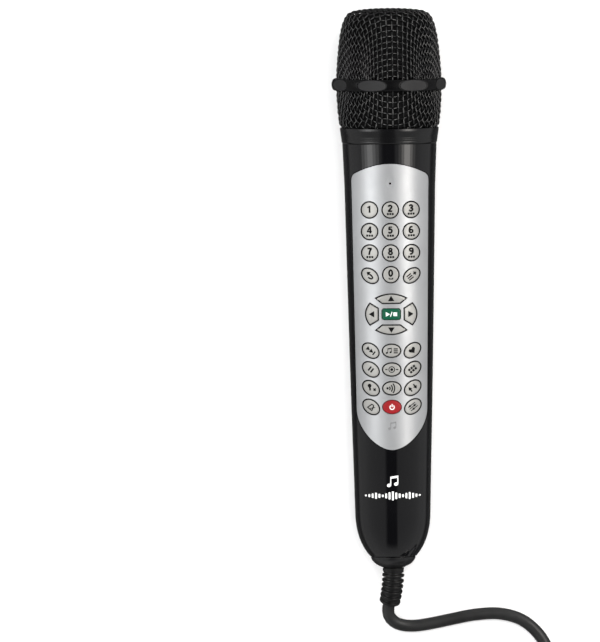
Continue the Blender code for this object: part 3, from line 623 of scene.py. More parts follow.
def tube(name, lines, radius, material, resolution, matrix=None):
    """Round bars along lines of points, as one curve object."""
    curve = bpy.data.curves.new(name, 'CURVE')
    curve.dimensions = '3D'
    curve.bevel_depth = radius * MM
    curve.bevel_resolution = resolution
    curve.use_fill_caps = True
    for points in lines:
        line = curve.splines.new('POLY')
        line.points.add(len(points) - 1)
        for point, place in zip(line.points, points):
            where = Vector(place) * MM
            point.co = (*(matrix @ where if matrix else where), 1.0)
    curve.materials.append(material)
    return linked(name, curve)


def world_place(x, y, z, quarter_turns=0.0):
    return Matrix.Translation((x * MM, y * MM, z * MM)) @ Matrix.Rotation(quarter_turns, 4, 'Z')


def make_cord():
    centre = Vector((*COIL_CENTRE, 0))
    entry = [Vector((-1.95, -144.55, 11.07))]
    route = entry + smooth(CORD_ROUTE, 2.2)
    route += [centre + Vector(p) for p in coil_turns()]
    free = [centre + Vector(p) for p in coil_turns()[-1:] + TAIL_ROUTE]
    tail = smooth(free, 2.5)[1:]
    route += tail
    plug_pieces = make_plug()
    cord = tube("cord_run", [route], CORD_RADIUS, MATERIALS["cord"], 5)
    settle(cord, MAIN, "cord_jacket", "cord", "cord_coil", "cord_tail")
    tie = make_tie()


def make_tie():
    """A hook-and-loop strap round the coil, drawn as a closed band."""
    span = COIL_PITCH * COIL_TURNS / 2
    inner, outer = COIL_MEAN - span - CORD_RADIUS, COIL_MEAN + span + CORD_RADIUS
    top = COIL_BASE + COIL_LAYERS * COIL_PITCH + 0.1
    near = math.sqrt(inner**2 - (TIE_WIDTH / 2) ** 2) - 0.3
    loop = box_outline(near + 0.05, COIL_BASE - 0.28, outer + 0.28, top + 0.28, 1.6, 8)
    around = offset(loop, TIE_THICK - 0.06, True)
    count = len(loop)
    rows = [-TIE_WIDTH / 2, -TIE_WIDTH / 2 + 0.4, TIE_WIDTH / 2 - 0.4, TIE_WIDTH / 2]
    vertices = []
    for side in rows:
        edge = 0.15 if abs(side) == TIE_WIDTH / 2 else 0.0
        line_in = offset(loop, edge, True)
        line_out = offset(around, -edge, True)
        vertices += [(side, -r, z) for r, z in line_in + line_out]
    faces = []
    for row in range(3):
        for part in (0, count):
            for i in range(count):
                j = (i + 1) % count
                a, b = row * 2 * count + part, (row + 1) * 2 * count + part
                faces.append((a + i, a + j, b + j, b + i))
    for row in (0, 3):
        for i in range(count):
            j = (i + 1) % count
            a = row * 2 * count
            faces.append((a + i, a + j, a + count + j, a + count + i))
    tie = make("coil_strap", vertices, faces, MATERIALS["tie"], world_place(*COIL_CENTRE, 0))
    return settle(tie, MAIN, "tie_fabric", "cord_tie")


def make_plug():
    end = TAIL_ROUTE[-1]
    place = world_place(COIL_CENTRE[0] + end[0] + 0.6, COIL_CENTRE[1] + end[1], end[2], -math.pi / 2)
    b = BOOT_LENGTH
    ribs = []
    for i in range(4):
        y = 0.9 + 1.5 * i
        radius = 3.9 + 0.15 * i
        ribs += [(y, radius - 0.35), (y + 0.25, radius), (y + 0.85, radius + 0.05), (y + 1.1, radius - 0.3)]
    grips = []
    for i in range(7):
        y = 9.0 + 1.6 * i
        grips += [(y, 5.35), (y + 0.8, 5.35), (y + 1.0, 5.05), (y + 1.3, 5.05), (y + 1.5, 5.35)]
    boot_line = ([(0, 0.0), (0, 3.5), (0.3, 3.8)] + ribs + [(7.2, 4.6), (8.1, 5.25)] + grips
                 + [(b - 1.2, 5.35), (b - 0.5, 5.2), (b, 4.8), (b, 0.0)])
    boot = turned_solid("jack_boot", boot_line, 48, MATERIALS["boot"], place)
    shoulder = JACK_RADIUS + 1.0
    sleeve_line = [(b + 0.3, 0.0), (b + 0.3, shoulder - 0.2), (b + 0.5, shoulder), (b + 1.3, shoulder),
                   (b + 1.5, shoulder - 0.2), (b + 1.5, JACK_RADIUS), (b + 21.3, JACK_RADIUS),
                   (b + 21.5, JACK_RADIUS - 0.15), (b + 21.5, 0.0)]
    sleeve = turned_solid("jack_sleeve", sleeve_line, 48, MATERIALS["nickel"], place)
    tip_line = [(b + 22.3, 0.0), (b + 22.3, JACK_RADIUS - 0.1), (b + 22.45, JACK_RADIUS),
                (b + 24.1, JACK_RADIUS),
                (b + 24.6, 2.9), (b + 25.4, 2.3), (b + 25.9, 2.5), (b + 26.6, 3.05), (b + 27.2, 3.05),
                (b + 28.6, 2.2), (b + 29.8, 1.1), (b + 30.2, 0.5), (b + 30.3, 0.0)]
    tip = turned_solid("jack_tip", tip_line, 48, MATERIALS["nickel"], place)
    band_line = [(b + 21.55, 0.0), (b + 21.55, JACK_RADIUS - 0.12), (b + 22.25, JACK_RADIUS - 0.12),
                 (b + 22.25, 0.0)]
    band = turned_solid("jack_insulator", band_line, 48, MATERIALS["chip"], place)
    settle(boot, MAIN, "plug_boot", "plug_boot")
    settle(sleeve, MAIN, "plug_metal", "plug_sleeve")
    settle(tip, MAIN, "plug_metal", "plug_tip")
    settle(band, MAIN, "chip_black")
    return [boot, sleeve, tip, band]


# ---------------------------------------------------------------- head

def net(run, station, radius, pitch):
    """A square net of wires laid over a turned surface from its pole, every link as long as the next.

    Two wires cross at the pole and lie straight down the surface. Each further crossing lies one link from
    its two inner neighbours, so that the meshes shear into lozenges between the straight wires, as in a
    drawn grille. Returns (arc length, azimuth) of each crossing of one quarter.
    """

    def place(s, phi):
        r = np.interp(s, run, radius)
        return np.array([r * math.cos(phi), r * math.sin(phi), np.interp(s, run, station)])

    nodes = {}
    count = int(run[-1] / pitch) + 2
    for i in range(count):
        nodes[i, 0] = (i * pitch, 0.0)
        nodes[0, i] = (i * pitch, math.pi / 2)
    nodes[0, 0] = (0.0, 0.0)
    for total in range(2, 2 * count):
        for i in range(1, total):
            j = total - i
            if (i - 1, j) not in nodes or (i, j - 1) not in nodes:
                continue
            (sa, pa), (sb, pb) = nodes[i - 1, j], nodes[i, j - 1]
            if max(sa, sb) > run[-1] - 2 * pitch:
                continue
            a, b = place(sa, pa), place(sb, pb)
            s, phi = (sa + sb) / 2 + pitch * 0.7, (pa + pb) / 2
            if i == 1 and j == 1:
                s = pitch * math.sqrt(2)
            for _ in range(40):
                e = 1e-4
                here = place(s, phi)
                f = np.array([np.linalg.norm(here - a), np.linalg.norm(here - b)]) - pitch
                ds, dp = place(s + e, phi), place(s, phi + e)
                slope = np.array([[np.linalg.norm(ds - a) - pitch - f[0], np.linalg.norm(dp - a) - pitch
                                   - f[0]],
                                  [np.linalg.norm(ds - b) - pitch - f[1], np.linalg.norm(dp - b) - pitch
                                   - f[1]]]) / e
                step = np.linalg.lstsq(slope, -f, rcond=None)[0]
                s += float(np.clip(step[0], -0.6, 0.6))
                phi += float(np.clip(step[1], -0.05, 0.05))
            nodes[i, j] = (s, phi)
    return nodes


def weave(profile, pitch):
    """The wires of a plain weave over a turned surface.

    The profile is given as (arc length from the pole, station, radius).
    """
    run, station, radius = (np.array([p[k] for p in profile]) for k in range(3))
    reach = run[-1]
    past = 30.0 / (run[-1] - run[-2])
    run, station, radius = (np.append(line, line[-1] + (line[-1] - line[-2]) * past)
                            for line in (run, station, radius))
    nodes = net(run, station, radius, pitch)
    for (i, j), (s, phi) in nodes.items():
        flat_s, flat_phi = pitch * math.hypot(i, j), math.atan2(j, i)
        ease = WEAVE_EASE[0] + WEAVE_EASE[1] * math.sin(2 * flat_phi) ** 2
        nodes[i, j] = (s + (flat_s - s) * ease, phi + (flat_phi - phi) * ease)

    def crossing(i, j):
        found = nodes.get((abs(i), abs(j)))
        if found is None or found[0] > reach:
            return None
        s, phi = found
        if i < 0:
            phi = math.pi - phi
        return s, phi if j >= 0 else -phi

    def point(s, phi, height):
        k = min(max(int(np.searchsorted(run, s, side='right')), 1), len(run) - 1)
        slope = Vector((station[k] - station[k - 1], radius[k] - radius[k - 1])).normalized()
        side = 1.0 if station[0] > station[-1] else -1.0
        r = np.interp(s, run, radius) - side * slope.x * height
        y = np.interp(s, run, station) + side * slope.y * height
        turn = math.pi / 2 - HEAD_TWIST + phi
        return Vector((r * math.cos(turn), y, r * math.sin(turn)))

    def wire(cells, over):
        """One wire through its crossings, over and under by turns."""
        flat = [point(s, phi, 0.0) for s, phi in cells]
        high = [point(s, phi, WEAVE_LIFT if (k + over) % 2 else -WEAVE_LIFT) for k,
                (s, phi) in enumerate(cells)]
        line = []
        for k in range(len(cells) - 1):
            before, after = flat[max(k - 1, 0)], flat[min(k + 2, len(cells) - 1)]
            for t in (0.0, 0.2, 0.4, 0.6, 0.8):
                base = (flat[k] * 2 + (flat[k + 1] - before) * t
                        + (before * 2 - flat[k] * 5 + flat[k + 1] * 4 - after) * t**2
                        + (flat[k] * 3 - before - flat[k + 1] * 3 + after) * t**3) / 2
                swing = math.cos(math.pi * t)
                lift = ((high[k] - flat[k]) * (1 + swing) + (high[k + 1] - flat[k + 1]) * (1 - swing)) / 2
                line.append(base + lift)
        line.append(high[-1])
        return line

    count = int(reach / pitch) + 1
    lines = []
    for fixed in range(-count, count + 1):
        for family in (0, 1):
            cells = []
            start = 0
            for k in range(-count, count + 1):
                spot = crossing(k, fixed) if family == 0 else crossing(fixed, k)
                if spot is None:
                    if len(cells) > 1:
                        lines.append(wire(cells, start + fixed + family))
                    cells = []
                    continue
                if not cells:
                    start = k
                cells.append(spot)
            if len(cells) > 1:
                lines.append(wire(cells, start + fixed + family))
    return lines


def along(points):
    """Adds to each point of a line its distance from the start."""
    out = []
    run = 0.0
    for i, (y, r) in enumerate(points):
        if i:
            run += math.hypot(y - points[i - 1][0], r - points[i - 1][1])
        out.append((run, y, r))
    return out


def grille_dome(steps=24):
    crown = bezier(GRILLE_SHOULDER, steps)[:-1] + bezier(GRILLE_CROWN, steps)
    outer = [(RING_HIGH - 2.8, 26.0)] + crown
    moved = offset(outer[:-1], WEAVE_INSET, False)
    return [(HEAD_TOP - WEAVE_INSET, 0.0)] + [(y, r) for y, r in moved[::-1]]


def make_wires(name, profile, low, high, node):
    lines = clip(weave(along(profile), WEAVE_PITCH), low, high)
    wires = tube(name, lines, WIRE_RADIUS, MATERIALS["wire"], 1, MIC)
    settle(wires, MAIN, "grille_wire", node)


def make_head():
    dome = grille_dome()
    make_wires("grille_dome_wires", dome, RING_MIDDLE + 0.4, HEAD_TOP, "grille_upper")

    side = [tuple(p) for p in smooth([Vector((y, r - WEAVE_INSET)) for y, r in LOWER_GRILLE], 1.0)]
    side = [(RING_LOW + 2.8, side[-1][1] + 0.05)] + side[::-1]
    foot = [(COLLAR_TOP - 0.4, side[-1][1] - 0.05)]
    lower = [(foot[0][0], 0.0)] + [(foot[0][0], foot[0][1] * t) for t in (0.25, 0.5, 0.75, 0.97)] + side[::-1]
    make_wires("grille_bowl_wires", lower, COLLAR_TOP, RING_MIDDLE - 0.4, "grille_lower")

    lining = offset(dome[1:], -1.25, False)
    outer = [(y, max(r, 0.0)) for y, r in lining]
    pocket = [(HEAD_TOP - 12.0, 0.0), (HEAD_TOP - 12.0, 10.5), (RING_HIGH + 1.0, 10.5)]
    outer = [(y, r) for y, r in outer if y > RING_HIGH + 1.0 and r > 0.3]
    foam_line = pocket + [(RING_HIGH + 1.0, outer[-1][1])] + outer[::-1] + [(outer[0][0] + 0.02, 0.0)]
    foam = turned_solid("windscreen", foam_line, 72, MATERIALS["foam"], sharp=60)
    settle(foam, MAIN, "foam", "windscreen_foam")

    lower_lining = [(y, r - 1.3) for y, r in reversed(side) if COLLAR_TOP + 0.1 < y < RING_LOW + 2.0]
    sleeve = lower_lining + [(y, r - 1.6) for y, r in reversed(lower_lining)]
    liner = turned("bowl_lining", sleeve, 72, MATERIALS["foam"], sharp=60)
    settle(liner, MAIN, "foam")
    make_ring()


def clip(lines, low, high):
    """Keeps the stretches of the wires between two stations."""
    kept = []
    for line in lines:
        run = []
        for point in line:
            if low <= point[1] <= high:
                run.append(point)
                continue
            if len(run) > 2:
                kept.append(run)
            run = []
        if len(run) > 2:
            kept.append(run)
    return kept


def make_ring():
    """The anti-roll band: each facet is a flat oval set a little below a fine raised rim."""
    half = (RING_HIGH - RING_LOW) / 2
    section = []
    for i in range(33):
        angle = math.radians(-90 + 180 * i / 32)
        section.append((RING_MIDDLE + half * math.sin(angle), RING_RADIUS - RING_CROWN
                        + RING_CROWN * math.cos(angle)))
    section += [(RING_HIGH, RING_BORE), (RING_LOW, RING_BORE)]
    segments = 480
    pitch = TURN / FACETS
    vertices = []
    for i in range(segments):
        angle = TURN * i / segments
        from_facet = (angle - (math.pi / 2 - HEAD_TWIST)) % pitch - pitch / 2
        reach = FACET_FLAT / math.cos(from_facet)
        for y, r in section:
            depth = r - reach
            sunk = 0.22 * min(max((depth - 0.10) / 0.16, 0.0), 1.0)
            radius = r if depth < 0 else reach - sunk
            vertices.append((radius * math.cos(angle), y, radius * math.sin(angle)))
    ring = make("roll_stop_ring", vertices, tunnel_faces(segments, len(section), True, True),
                MATERIALS["ring"],
                sharp=50)
    ring.data.materials.append(MATERIALS["facet"])
    back = MIC.inverted()
    for face in ring.data.polygons:
        place = back @ face.center / MM
        from_facet = (math.atan2(place.z, place.x) - (math.pi / 2 - HEAD_TWIST)) % pitch - pitch / 2
        outward = math.sqrt(max(1 - ((place.y - RING_MIDDLE) / half) ** 2, 0.0))
        level = RING_RADIUS - RING_CROWN + RING_CROWN * outward
        outside = math.hypot(place.x, place.z) > RING_BORE + RING_CROWN
        if outside and level - FACET_FLAT / math.cos(from_facet) > 0.2:
            face.material_index = 1
    settle(ring, MAIN, "ring_rubber", "anti_roll_ring")


def make_collar():
    line = [(COLLAR_FOOT, 23.0), (COLLAR_FOOT + 0.15, 23.25), (COLLAR_FOOT + 0.7, 23.45)]
    for i in range(3):
        y = COLLAR_FOOT + 1.0 + 0.9 * i
        r = 23.5 + 0.11 * i
        line += [(y, r), (y + 0.12, r - 0.07), (y + 0.3, r - 0.07), (y + 0.42, r + 0.02)]
    line += [(COLLAR_TOP - 1.6, 24.12), (COLLAR_TOP - 0.8, 24.25), (COLLAR_TOP - 0.3, 24.15),
             (COLLAR_TOP, 23.7),
             (COLLAR_TOP, 12.0), (222.5, 12.0), (222.5, 20.4), (COLLAR_FOOT, 20.4)]
    collar = turned("neck_collar", line, 192, MATERIALS["collar"], sharp=40)
    settle(collar, MAIN, "collar_black", "collar")


# ---------------------------------------------------------------- shells and panel

def shell_section():
    outer = handle_profile(24)
    inner = offset(outer, -WALL, False)
    inner = [(y, r) for y, r in inner if r > TAIL_OPENING and y > SHELL_TAIL + WALL]
    inner[0] = (outer[0][0], inner[0][1])
    return outer + [(SHELL_TAIL, TAIL_OPENING), (SHELL_TAIL + WALL, TAIL_OPENING)] + inner[::-1]


def skin(name, depth, height, material, segments):
    stations = list(np.arange(70.0, 221.0, 6.0))
    outer = [(y, handle_radius(y) + height) for y in stations]
    inner = [(y, handle_radius(y) - depth) for y in reversed(stations)]
    return turned(name, outer + inner, segments, material, SEAM_ANGLE, math.pi - SEAM_ANGLE)


def make_shells():
    gloss = MATERIALS["shell"]
    plan = panel_outline()
    section = shell_section()
    front = turned("shell_front", section, 96, gloss, SEAM_ANGLE, math.pi - SEAM_ANGLE)
    pocket = skin("pocket", PANEL_THICK + 0.3, 3.0, gloss, 96)
    cut(pocket, 'INTERSECT', prism("pocket_plan", offset(plan, -0.35, True), 0.0, FAR, gloss))
    cut(front, 'DIFFERENCE', pocket)
    cut(front, 'DIFFERENCE', prism("window", offset(plan, LEDGE, True), 2.0, FAR, gloss))
    soften(front, 0.16, 50)
    follow_handle(front)
    add_print(front, front_marks(), MATERIALS["print_white"])
    settle(front, MAIN, "shell_black", "front_shell")


def surface(x, y, lift):
    return math.sqrt(max((handle_radius(y) + lift) ** 2 - x * x, 0.0))


def dish_cutter(material):
    """A shallow lens that leaves an oval dish round the status light."""
    half, height = DISH
    line = [(-half * math.cos(math.pi * i / 48), half * math.sin(math.pi * i / 48)) for i in range(49)]
    lens = turned_solid("dish", line, 96, material)
    squash = Matrix.Diagonal((1, 1, height / half, 1))
    lift = surface(0, LIGHT_STATION, 0.0) + height * (1 - DISH_DEPTH)
    lens.data.transform(MIC @ Matrix.Translation(Vector((0, LIGHT_STATION,
                                                         lift)) * MM) @ squash @ MIC.inverted())
    return lens


def make_panel():
    satin = MATERIALS["panel"]
    panel = skin("panel_plate", PANEL_THICK, 0.0, satin, 120)
    cut(panel, 'INTERSECT', prism("panel_plan", panel_outline(), 0.0, FAR, satin))
    holes = []
    for name, centre, outline, _ in key_plan():
        opening = [(centre[0] + x, centre[1] + y) for x, y in offset(outline, KEY_CLEARANCE, True)]
        holes.append(prism(f"hole_{name}", opening, 5.0, FAR, satin))
    holes.append(prism("hole_light", ellipse((0, LIGHT_STATION), (LIGHT_HOLE, LIGHT_HOLE), 0.0, 24), 5.0, FAR,
                       satin))
    cut(panel, 'DIFFERENCE', joined(holes))
    soften(panel, 0.3, 50, 3)
    cut(panel, 'DIFFERENCE', dish_cutter(satin))
    follow_handle(panel)
    add_print(panel, changed(note_mark(), 1.25, 0.0, 0.0, 88.3), MATERIALS["print_grey"])
    settle(panel, MAIN, "panel_silver", "keypad_panel")


# ---------------------------------------------------------------- printed marks

def ribbon(left, right):
    """The outlines of a band between two lines, one for each of its links."""
    return [list(corners) for corners in zip(left, left[1:], right[1:], right)]


def stroke(points, width):
    return ribbon(offset(points, width / 2, False), offset(points, -width / 2, False))


def curved(points, width):
    return stroke([tuple(p) for p in smooth([Vector(p) for p in points], 0.25)], width)


def hoop(cx, cy, rx, ry, width, start=0.0, end=360.0):
    """Part of an oval ring."""
    angles = [math.radians(start + (end - start) * i / 24) for i in range(25)]
    outer = [(cx + (rx + width / 2) * math.cos(a), cy + (ry + width / 2) * math.sin(a)) for a in angles]
    inner = [(cx + (rx - width / 2) * math.cos(a), cy + (ry - width / 2) * math.sin(a)) for a in angles]
    return ribbon(outer, inner)


def bar(x0, y0, x1, y1, width):
    return stroke([(x0, y0), (x1, y1)], width)[0]


def disc(cx, cy, radius, squash=1.0, lean=0.0):
    return ellipse((cx, cy), (radius, radius * squash), lean, 20)


def changed(shapes, scale=1.0, angle=0.0, dx=0.0, dy=0.0):
    c, s = math.cos(angle) * scale, math.sin(angle) * scale
    return [[(x * c - y * s + dx, x * s + y * c + dy) for x, y in shape] for shape in shapes]


def note_mark():
    """Two beamed quavers, drawn about a centre."""
    lean = math.radians(20)
    return [disc(-1.05, -1.1, 0.62, 0.78, lean), disc(0.95, -0.75, 0.62, 0.78, lean),
            bar(-0.56, -1.0, -0.56, 1.15, 0.28), bar(1.42, -0.65, 1.42, 1.5, 0.28),
            [(-0.7, 0.7), (1.56, 1.05), (1.56, 1.65), (-0.7, 1.3)]]


def front_marks():
    """A pair of notes over a row of sound-level bars."""
    marks = changed(note_mark(), 1.75, 0.0, 0.0, 61.0)
    heights = (0.9, 1.5, 2.2, 3.0, 2.0, 1.2, 2.4, 3.6, 4.4, 3.2, 2.2, 1.4, 2.6, 3.4, 2.4, 1.6, 0.9)
    for i, height in enumerate(heights):
        x = (i - (len(heights) - 1) / 2) * 1.65
        marks.append(box_outline(x - 0.48, 53.9 - height / 2, x + 0.48, 53.9 + height / 2, 0.3, 3))
    return marks


def numeral(digit):
    """A bold numeral 3.2 mm high, drawn about its centre."""
    w = 0.80
    six = hoop(0.0, -0.66, 0.72, 0.66, w) + curved([(0.62, 1.15), (0.1, 1.34), (-0.45, 0.95), (-0.74, 0.2),
                                                          (-0.72, -0.6)], w)
    return {
        "0": hoop(0.0, 0.0, 0.72, 1.32, w),
        "1": [bar(0.15, -1.6, 0.15, 1.6, 0.76), *stroke([(0.2, 1.25), (-0.8, 0.7)], 0.6)],
        "2": [*curved([(-0.75, 0.72), (-0.4, 1.22), (0.15, 1.32), (0.68, 0.95), (0.62, 0.35), (0.1, -0.3),
                            (-0.62, -1.15)], w), bar(-0.98, -1.32, 1.0, -1.32, w)],
        "3": curved([(-0.78, 0.95), (-0.2, 1.32), (0.42, 1.22), (0.68, 0.75), (0.35, 0.22), (-0.25, 0.1)], w)
             + curved([(-0.25, 0.1), (0.5, -0.1), (0.76, -0.65), (0.4, -1.2), (-0.25, -1.32), (-0.85, -0.9)],
                      w),
        "4": [bar(0.42, -1.6, 0.42, 1.6, w), bar(-1.15, -0.78, 1.15, -0.78, 0.62),
              *stroke([(0.36, 1.45), (-0.92, -0.75)], 0.58)],
        "5": [bar(-0.62, 1.30, 0.85, 1.30, 0.62), bar(-0.5, 1.4, -0.66, 0.1, 0.6),
              *curved([(-0.66, 0.15), (-0.05, 0.38), (0.5, 0.15), (0.72, -0.5), (0.35, -1.17), (-0.25, -1.32),
                            (-0.85, -0.9)], w)],
        "6": six,
        "7": [bar(-0.95, 1.32, 0.98, 1.32, w), *curved([(0.75, 1.2), (0.15, 0.2), (-0.25, -1.6)], w)],
        "8": hoop(0.0, 0.80, 0.60, 0.54, 0.72) + hoop(0.0, -0.70, 0.76, 0.68, 0.76),
        "9": changed(six, 1.0, math.pi),
    }[digit]


def key_marks(label):
    """The mark on a key other than a number's, as outlines about the key's centre."""
    arrow = [[(-1.4, -1.0), (1.4, -1.0), (0.0, 1.35)]]
    knob = bar(-1.9, 0.0, 1.9, 0.0, 0.34)
    return {
        "up": arrow, "down": arrow, "left": arrow, "right": arrow,
        "play": [[(-2.35, -1.0), (-0.6, 0.0), (-2.35, 1.0)], bar(-0.35, -1.05, 0.35, 1.05, 0.36),
                 box_outline(0.95, -0.8, 2.55, 0.8, 0.1, 2)],
        "back": [*curved([(-1.0, 0.45), (0.4, 0.45), (1.3, 0.1), (1.3, -0.6), (0.4, -0.95), (-0.3, -0.95)],
                         0.66),
                 [(-2.2, 0.45), (-0.8, -0.65), (-0.8, 1.55)]],
        "reserve": [bar(-2.1, y, 0.3, y, 0.52) for y in (0.95, 0.0, -0.95)]
                   + [bar(0.9, 0.0, 2.5, 0.0, 0.56), bar(1.7, -0.8, 1.7, 0.8, 0.56)],
        "jump": [[(-2.1, -0.95), (-0.4, 0.0), (-2.1, 0.95)], [(-0.3, -0.95), (1.4, 0.0), (-0.3, 0.95)],
                 bar(1.75, -0.95, 1.75, 0.95, 0.6)],
        "song": changed(note_mark(), 0.82, 0.0, -1.2, 0.0)
            + [bar(0.9, y, 2.7, y, 0.5) for y in (0.8, -0.05, -0.9)],
        "favourite": [[(0.0, -1.45), (1.5, 0.1), (1.45, 0.85), (0.8, 1.2), (0.0, 0.62), (-0.8, 1.2),
                       (-1.45, 0.85),
                       (-1.5, 0.1)]],
        "pause": [bar(-0.65, -1.1, -0.65, 1.1, 0.68), bar(0.65, -1.1, 0.65, 1.1, 0.68)],
        "record": [disc(0.0, 0.0, 0.62)] + hoop(0.0, 0.0, 1.25, 1.25, 0.36)
                  + [bar(x - 0.5, 0.0, x + 0.5, 0.0, 0.42) for x in (-2.35, 2.35)],
        "function": [box_outline(x, y, x + 1.0, y + 1.0, 0.1, 2) for x in (-1.8, -0.5, 0.8)
                     for y in (-1.15, 0.15)],
        "mic_volume": [disc(-1.2, 0.5, 0.82), bar(-0.8, 0.1, 0.3, -1.0, 0.74), bar(0.9, 0.5, 2.3, 0.5, 0.52),
                       bar(1.6, -0.2, 1.6, 1.2, 0.52)],
        "echo": [disc(-1.9, 0.0, 0.5)] + [q for r in (1.1, 2.1, 3.1)
                                          for q in hoop(-1.9, 0.0, r, r, 0.52, -42, 42)],
        "key_shift": [[(-2.1, 0.0), (-0.3, 0.0), (-1.2, 1.4)], bar(-1.2, -1.1, -1.2, 0.1, 0.6),
                      [(0.3, 0.0), (1.2, -1.4), (2.1, 0.0)], bar(1.2, -0.1, 1.2, 1.1, 0.6)],
        "tempo": [bar(-1.2, -1.15, -0.45, 1.2, 0.46), bar(1.2, -1.15, 0.45, 1.2, 0.46),
                  bar(-1.3, -1.1, 1.3, -1.1, 0.44), bar(-0.55, 1.15, 0.55, 1.15, 0.4),
                  bar(0.0, -0.8, 1.5, 0.9, 0.34)],
        "power": hoop(0.0, -0.1, 0.95, 0.95, 0.4, 125, 415) + [bar(0.0, 0.05, 0.0, 1.4, 0.4)],
        "mode": [knob] + [bar(-1.9, y, 1.9, y, 0.34) for y in (0.95, -0.95)]
                + [disc(x, y, 0.48) for x, y in ((-0.9, 0.95), (0.9, 0.0), (-0.3, -0.95))],
    }[label]


def raised(outlines, height):
    """Flat outlines laid at a height over the handle's surface, as a thin closed layer of ink."""
    shape = bmesh.new()
    for outline in outlines:
        shape.faces.new([shape.verts.new((x, y, 0.0)) for x, y in outline])
    bmesh.ops.remove_doubles(shape, verts=list(shape.verts), dist=0.001)
    bmesh.ops.triangulate(shape, faces=list(shape.faces))
    low, high = min(v.co.x for v in shape.verts), max(v.co.x for v in shape.verts)
    for x in np.arange(math.floor(low / INK_STEP) * INK_STEP + INK_STEP, high, INK_STEP):
        bmesh.ops.bisect_plane(shape, geom=[*shape.verts, *shape.edges, *shape.faces], dist=0.0001,
                               plane_co=(x, 0, 0), plane_no=(1, 0, 0))
    for face in shape.faces:
        face.normal_update()
        if face.normal.z < 0:
            face.normal_flip()
    result = bmesh.ops.extrude_face_region(shape, geom=list(shape.faces))
    upper = {v for v in result["geom"] if isinstance(v, bmesh.types.BMVert)}
    for vertex in shape.verts:
        top = surface(vertex.co.x, vertex.co.y, height)
        vertex.co.z = top + (INK_THICK if vertex in upper else -INK_SINK)
    bmesh.ops.recalc_face_normals(shape, faces=shape.faces)
    return shape


def add_print(piece, outlines, material, height=0.0):
    """Joins a layer of ink to a piece, as faces with their own material."""
    shape = raised(outlines, height)
    layer = bpy.data.meshes.new("ink")
    shape.to_mesh(layer)
    shape.free()
    layer.transform(MIC @ Matrix.Scale(MM, 4))
    layer.materials.append(material)
    inked = linked("ink", layer)
    with bpy.context.temp_override(active_object=piece, selected_editable_objects=[piece, inked],
                                   selected_objects=[piece, inked]):
        bpy.ops.object.join()


# ---------------------------------------------------------------- keys

def make_keys():
    for name, centre, outline, lean in key_plan():
        cx, cy = centre
        coloured = name in ("key_play", "key_power")
        if coloured:
            outline = offset(outline, COLOURED_GROWTH, True)
        material = {"key_play": MATERIALS["green"], "key_power": MATERIALS["red"]}.get(name, MATERIALS["key"])
        slot = {"key_play": "key_green", "key_power": "key_red"}.get(name, "key_grey")
        lip = KEY_LIP - COLOURED_GROWTH if coloured else KEY_LIP
        rows = [(lip, KEY_LIP_Z[0], None), (lip, KEY_LIP_Z[1], None), (0.0, KEY_LIP_Z[1], None),
                (0.0, None, KEY_PROUD - 0.40), (-0.05, None, KEY_PROUD - 0.18),
                (-0.17, None, KEY_PROUD - 0.06),
                (-0.35, None, KEY_PROUD - 0.01), (-KEY_EDGE, None, KEY_PROUD)]
        count = len(outline)
        vertices = []
        for grow, flat, lift in rows:
            line = offset(outline, grow, True) if grow else outline
            for x, y in line:
                z = flat if flat is not None else surface(cx + x, cy + y, lift)
                vertices.append((cx + x, cy + y, z))
        inset = offset(outline, -KEY_EDGE, True)
        for fraction in (0.66, 0.33):
            for x, y in inset:
                vertices.append((cx + x * fraction, cy + y * fraction,
                                 surface(cx + x * fraction, cy + y * fraction, KEY_PROUD)))
        faces = tunnel_faces(len(rows) + 2, count, False, True)
        faces.append(tuple(range(count)))
        vertices.append((cx, cy, surface(cx, cy, KEY_PROUD)))
        hub = len(vertices) - 1
        last = (len(rows) + 1) * count
        faces += [(last + i, last + (i + 1) % count, hub) for i in range(count)]
        cap = make(name.replace("key_", "cap_", 1), vertices, faces, material, sharp=50)
        # The lip and the side walls below the panel get a near-black finish: painted shade for the shadow in
        # the gap between key and panel. The play and power keys keep their own colour there.
        cap.data.materials.append(MATERIALS["painted_gap_shade"])
        for face in cap.data.polygons:
            if not coloured and min(face.vertices) < 4 * count and max(face.vertices) < 5 * count:
                face.material_index = 1
        ink_key(cap, name, centre, lean)
        settle(cap, name, slot, name)


def ink_key(cap, name, centre, lean):
    label = name[4:]
    pale = label in ("play", "power")
    if label.isdigit():
        marks = changed(numeral(label), 1.08, 0.0, -0.1, 0.35 if label == "1" else 0.80)
        if label == "0":
            marks += [bar(-0.95, -2.1, 0.95, -2.1, 0.5), bar(-0.9, -2.3, -0.9, -1.45, 0.46),
                      bar(0.9, -2.3, 0.9, -1.45, 0.46)]
        elif label != "1":
            marks += [box_outline(x - 0.48, -2.5, x + 0.48, -1.45, 0.16, 2) for x in (-1.2, 0.0, 1.2)]
    else:
        marks = changed(key_marks(label), 1.12, lean)
    add_print(cap, changed(marks, 1.0, 0.0, *centre), MATERIALS["print_white" if pale else "print"],
              KEY_PROUD)


# ---------------------------------------------------------------- tail

def relief_line(station):
    past = max(RELIEF_ROOT - station, 0.0) / RELIEF_ROOT
    return Vector((RELIEF_SIDEWAYS * past**2, station, RELIEF_DROP * past**2))


def relief_frame(station):
    here = relief_line(station)
    run = (relief_line(station - 0.05) - relief_line(station + 0.05)).normalized()
    across = run.cross(Vector((0, 0, 1))).normalized()
    return here, across, across.cross(run)


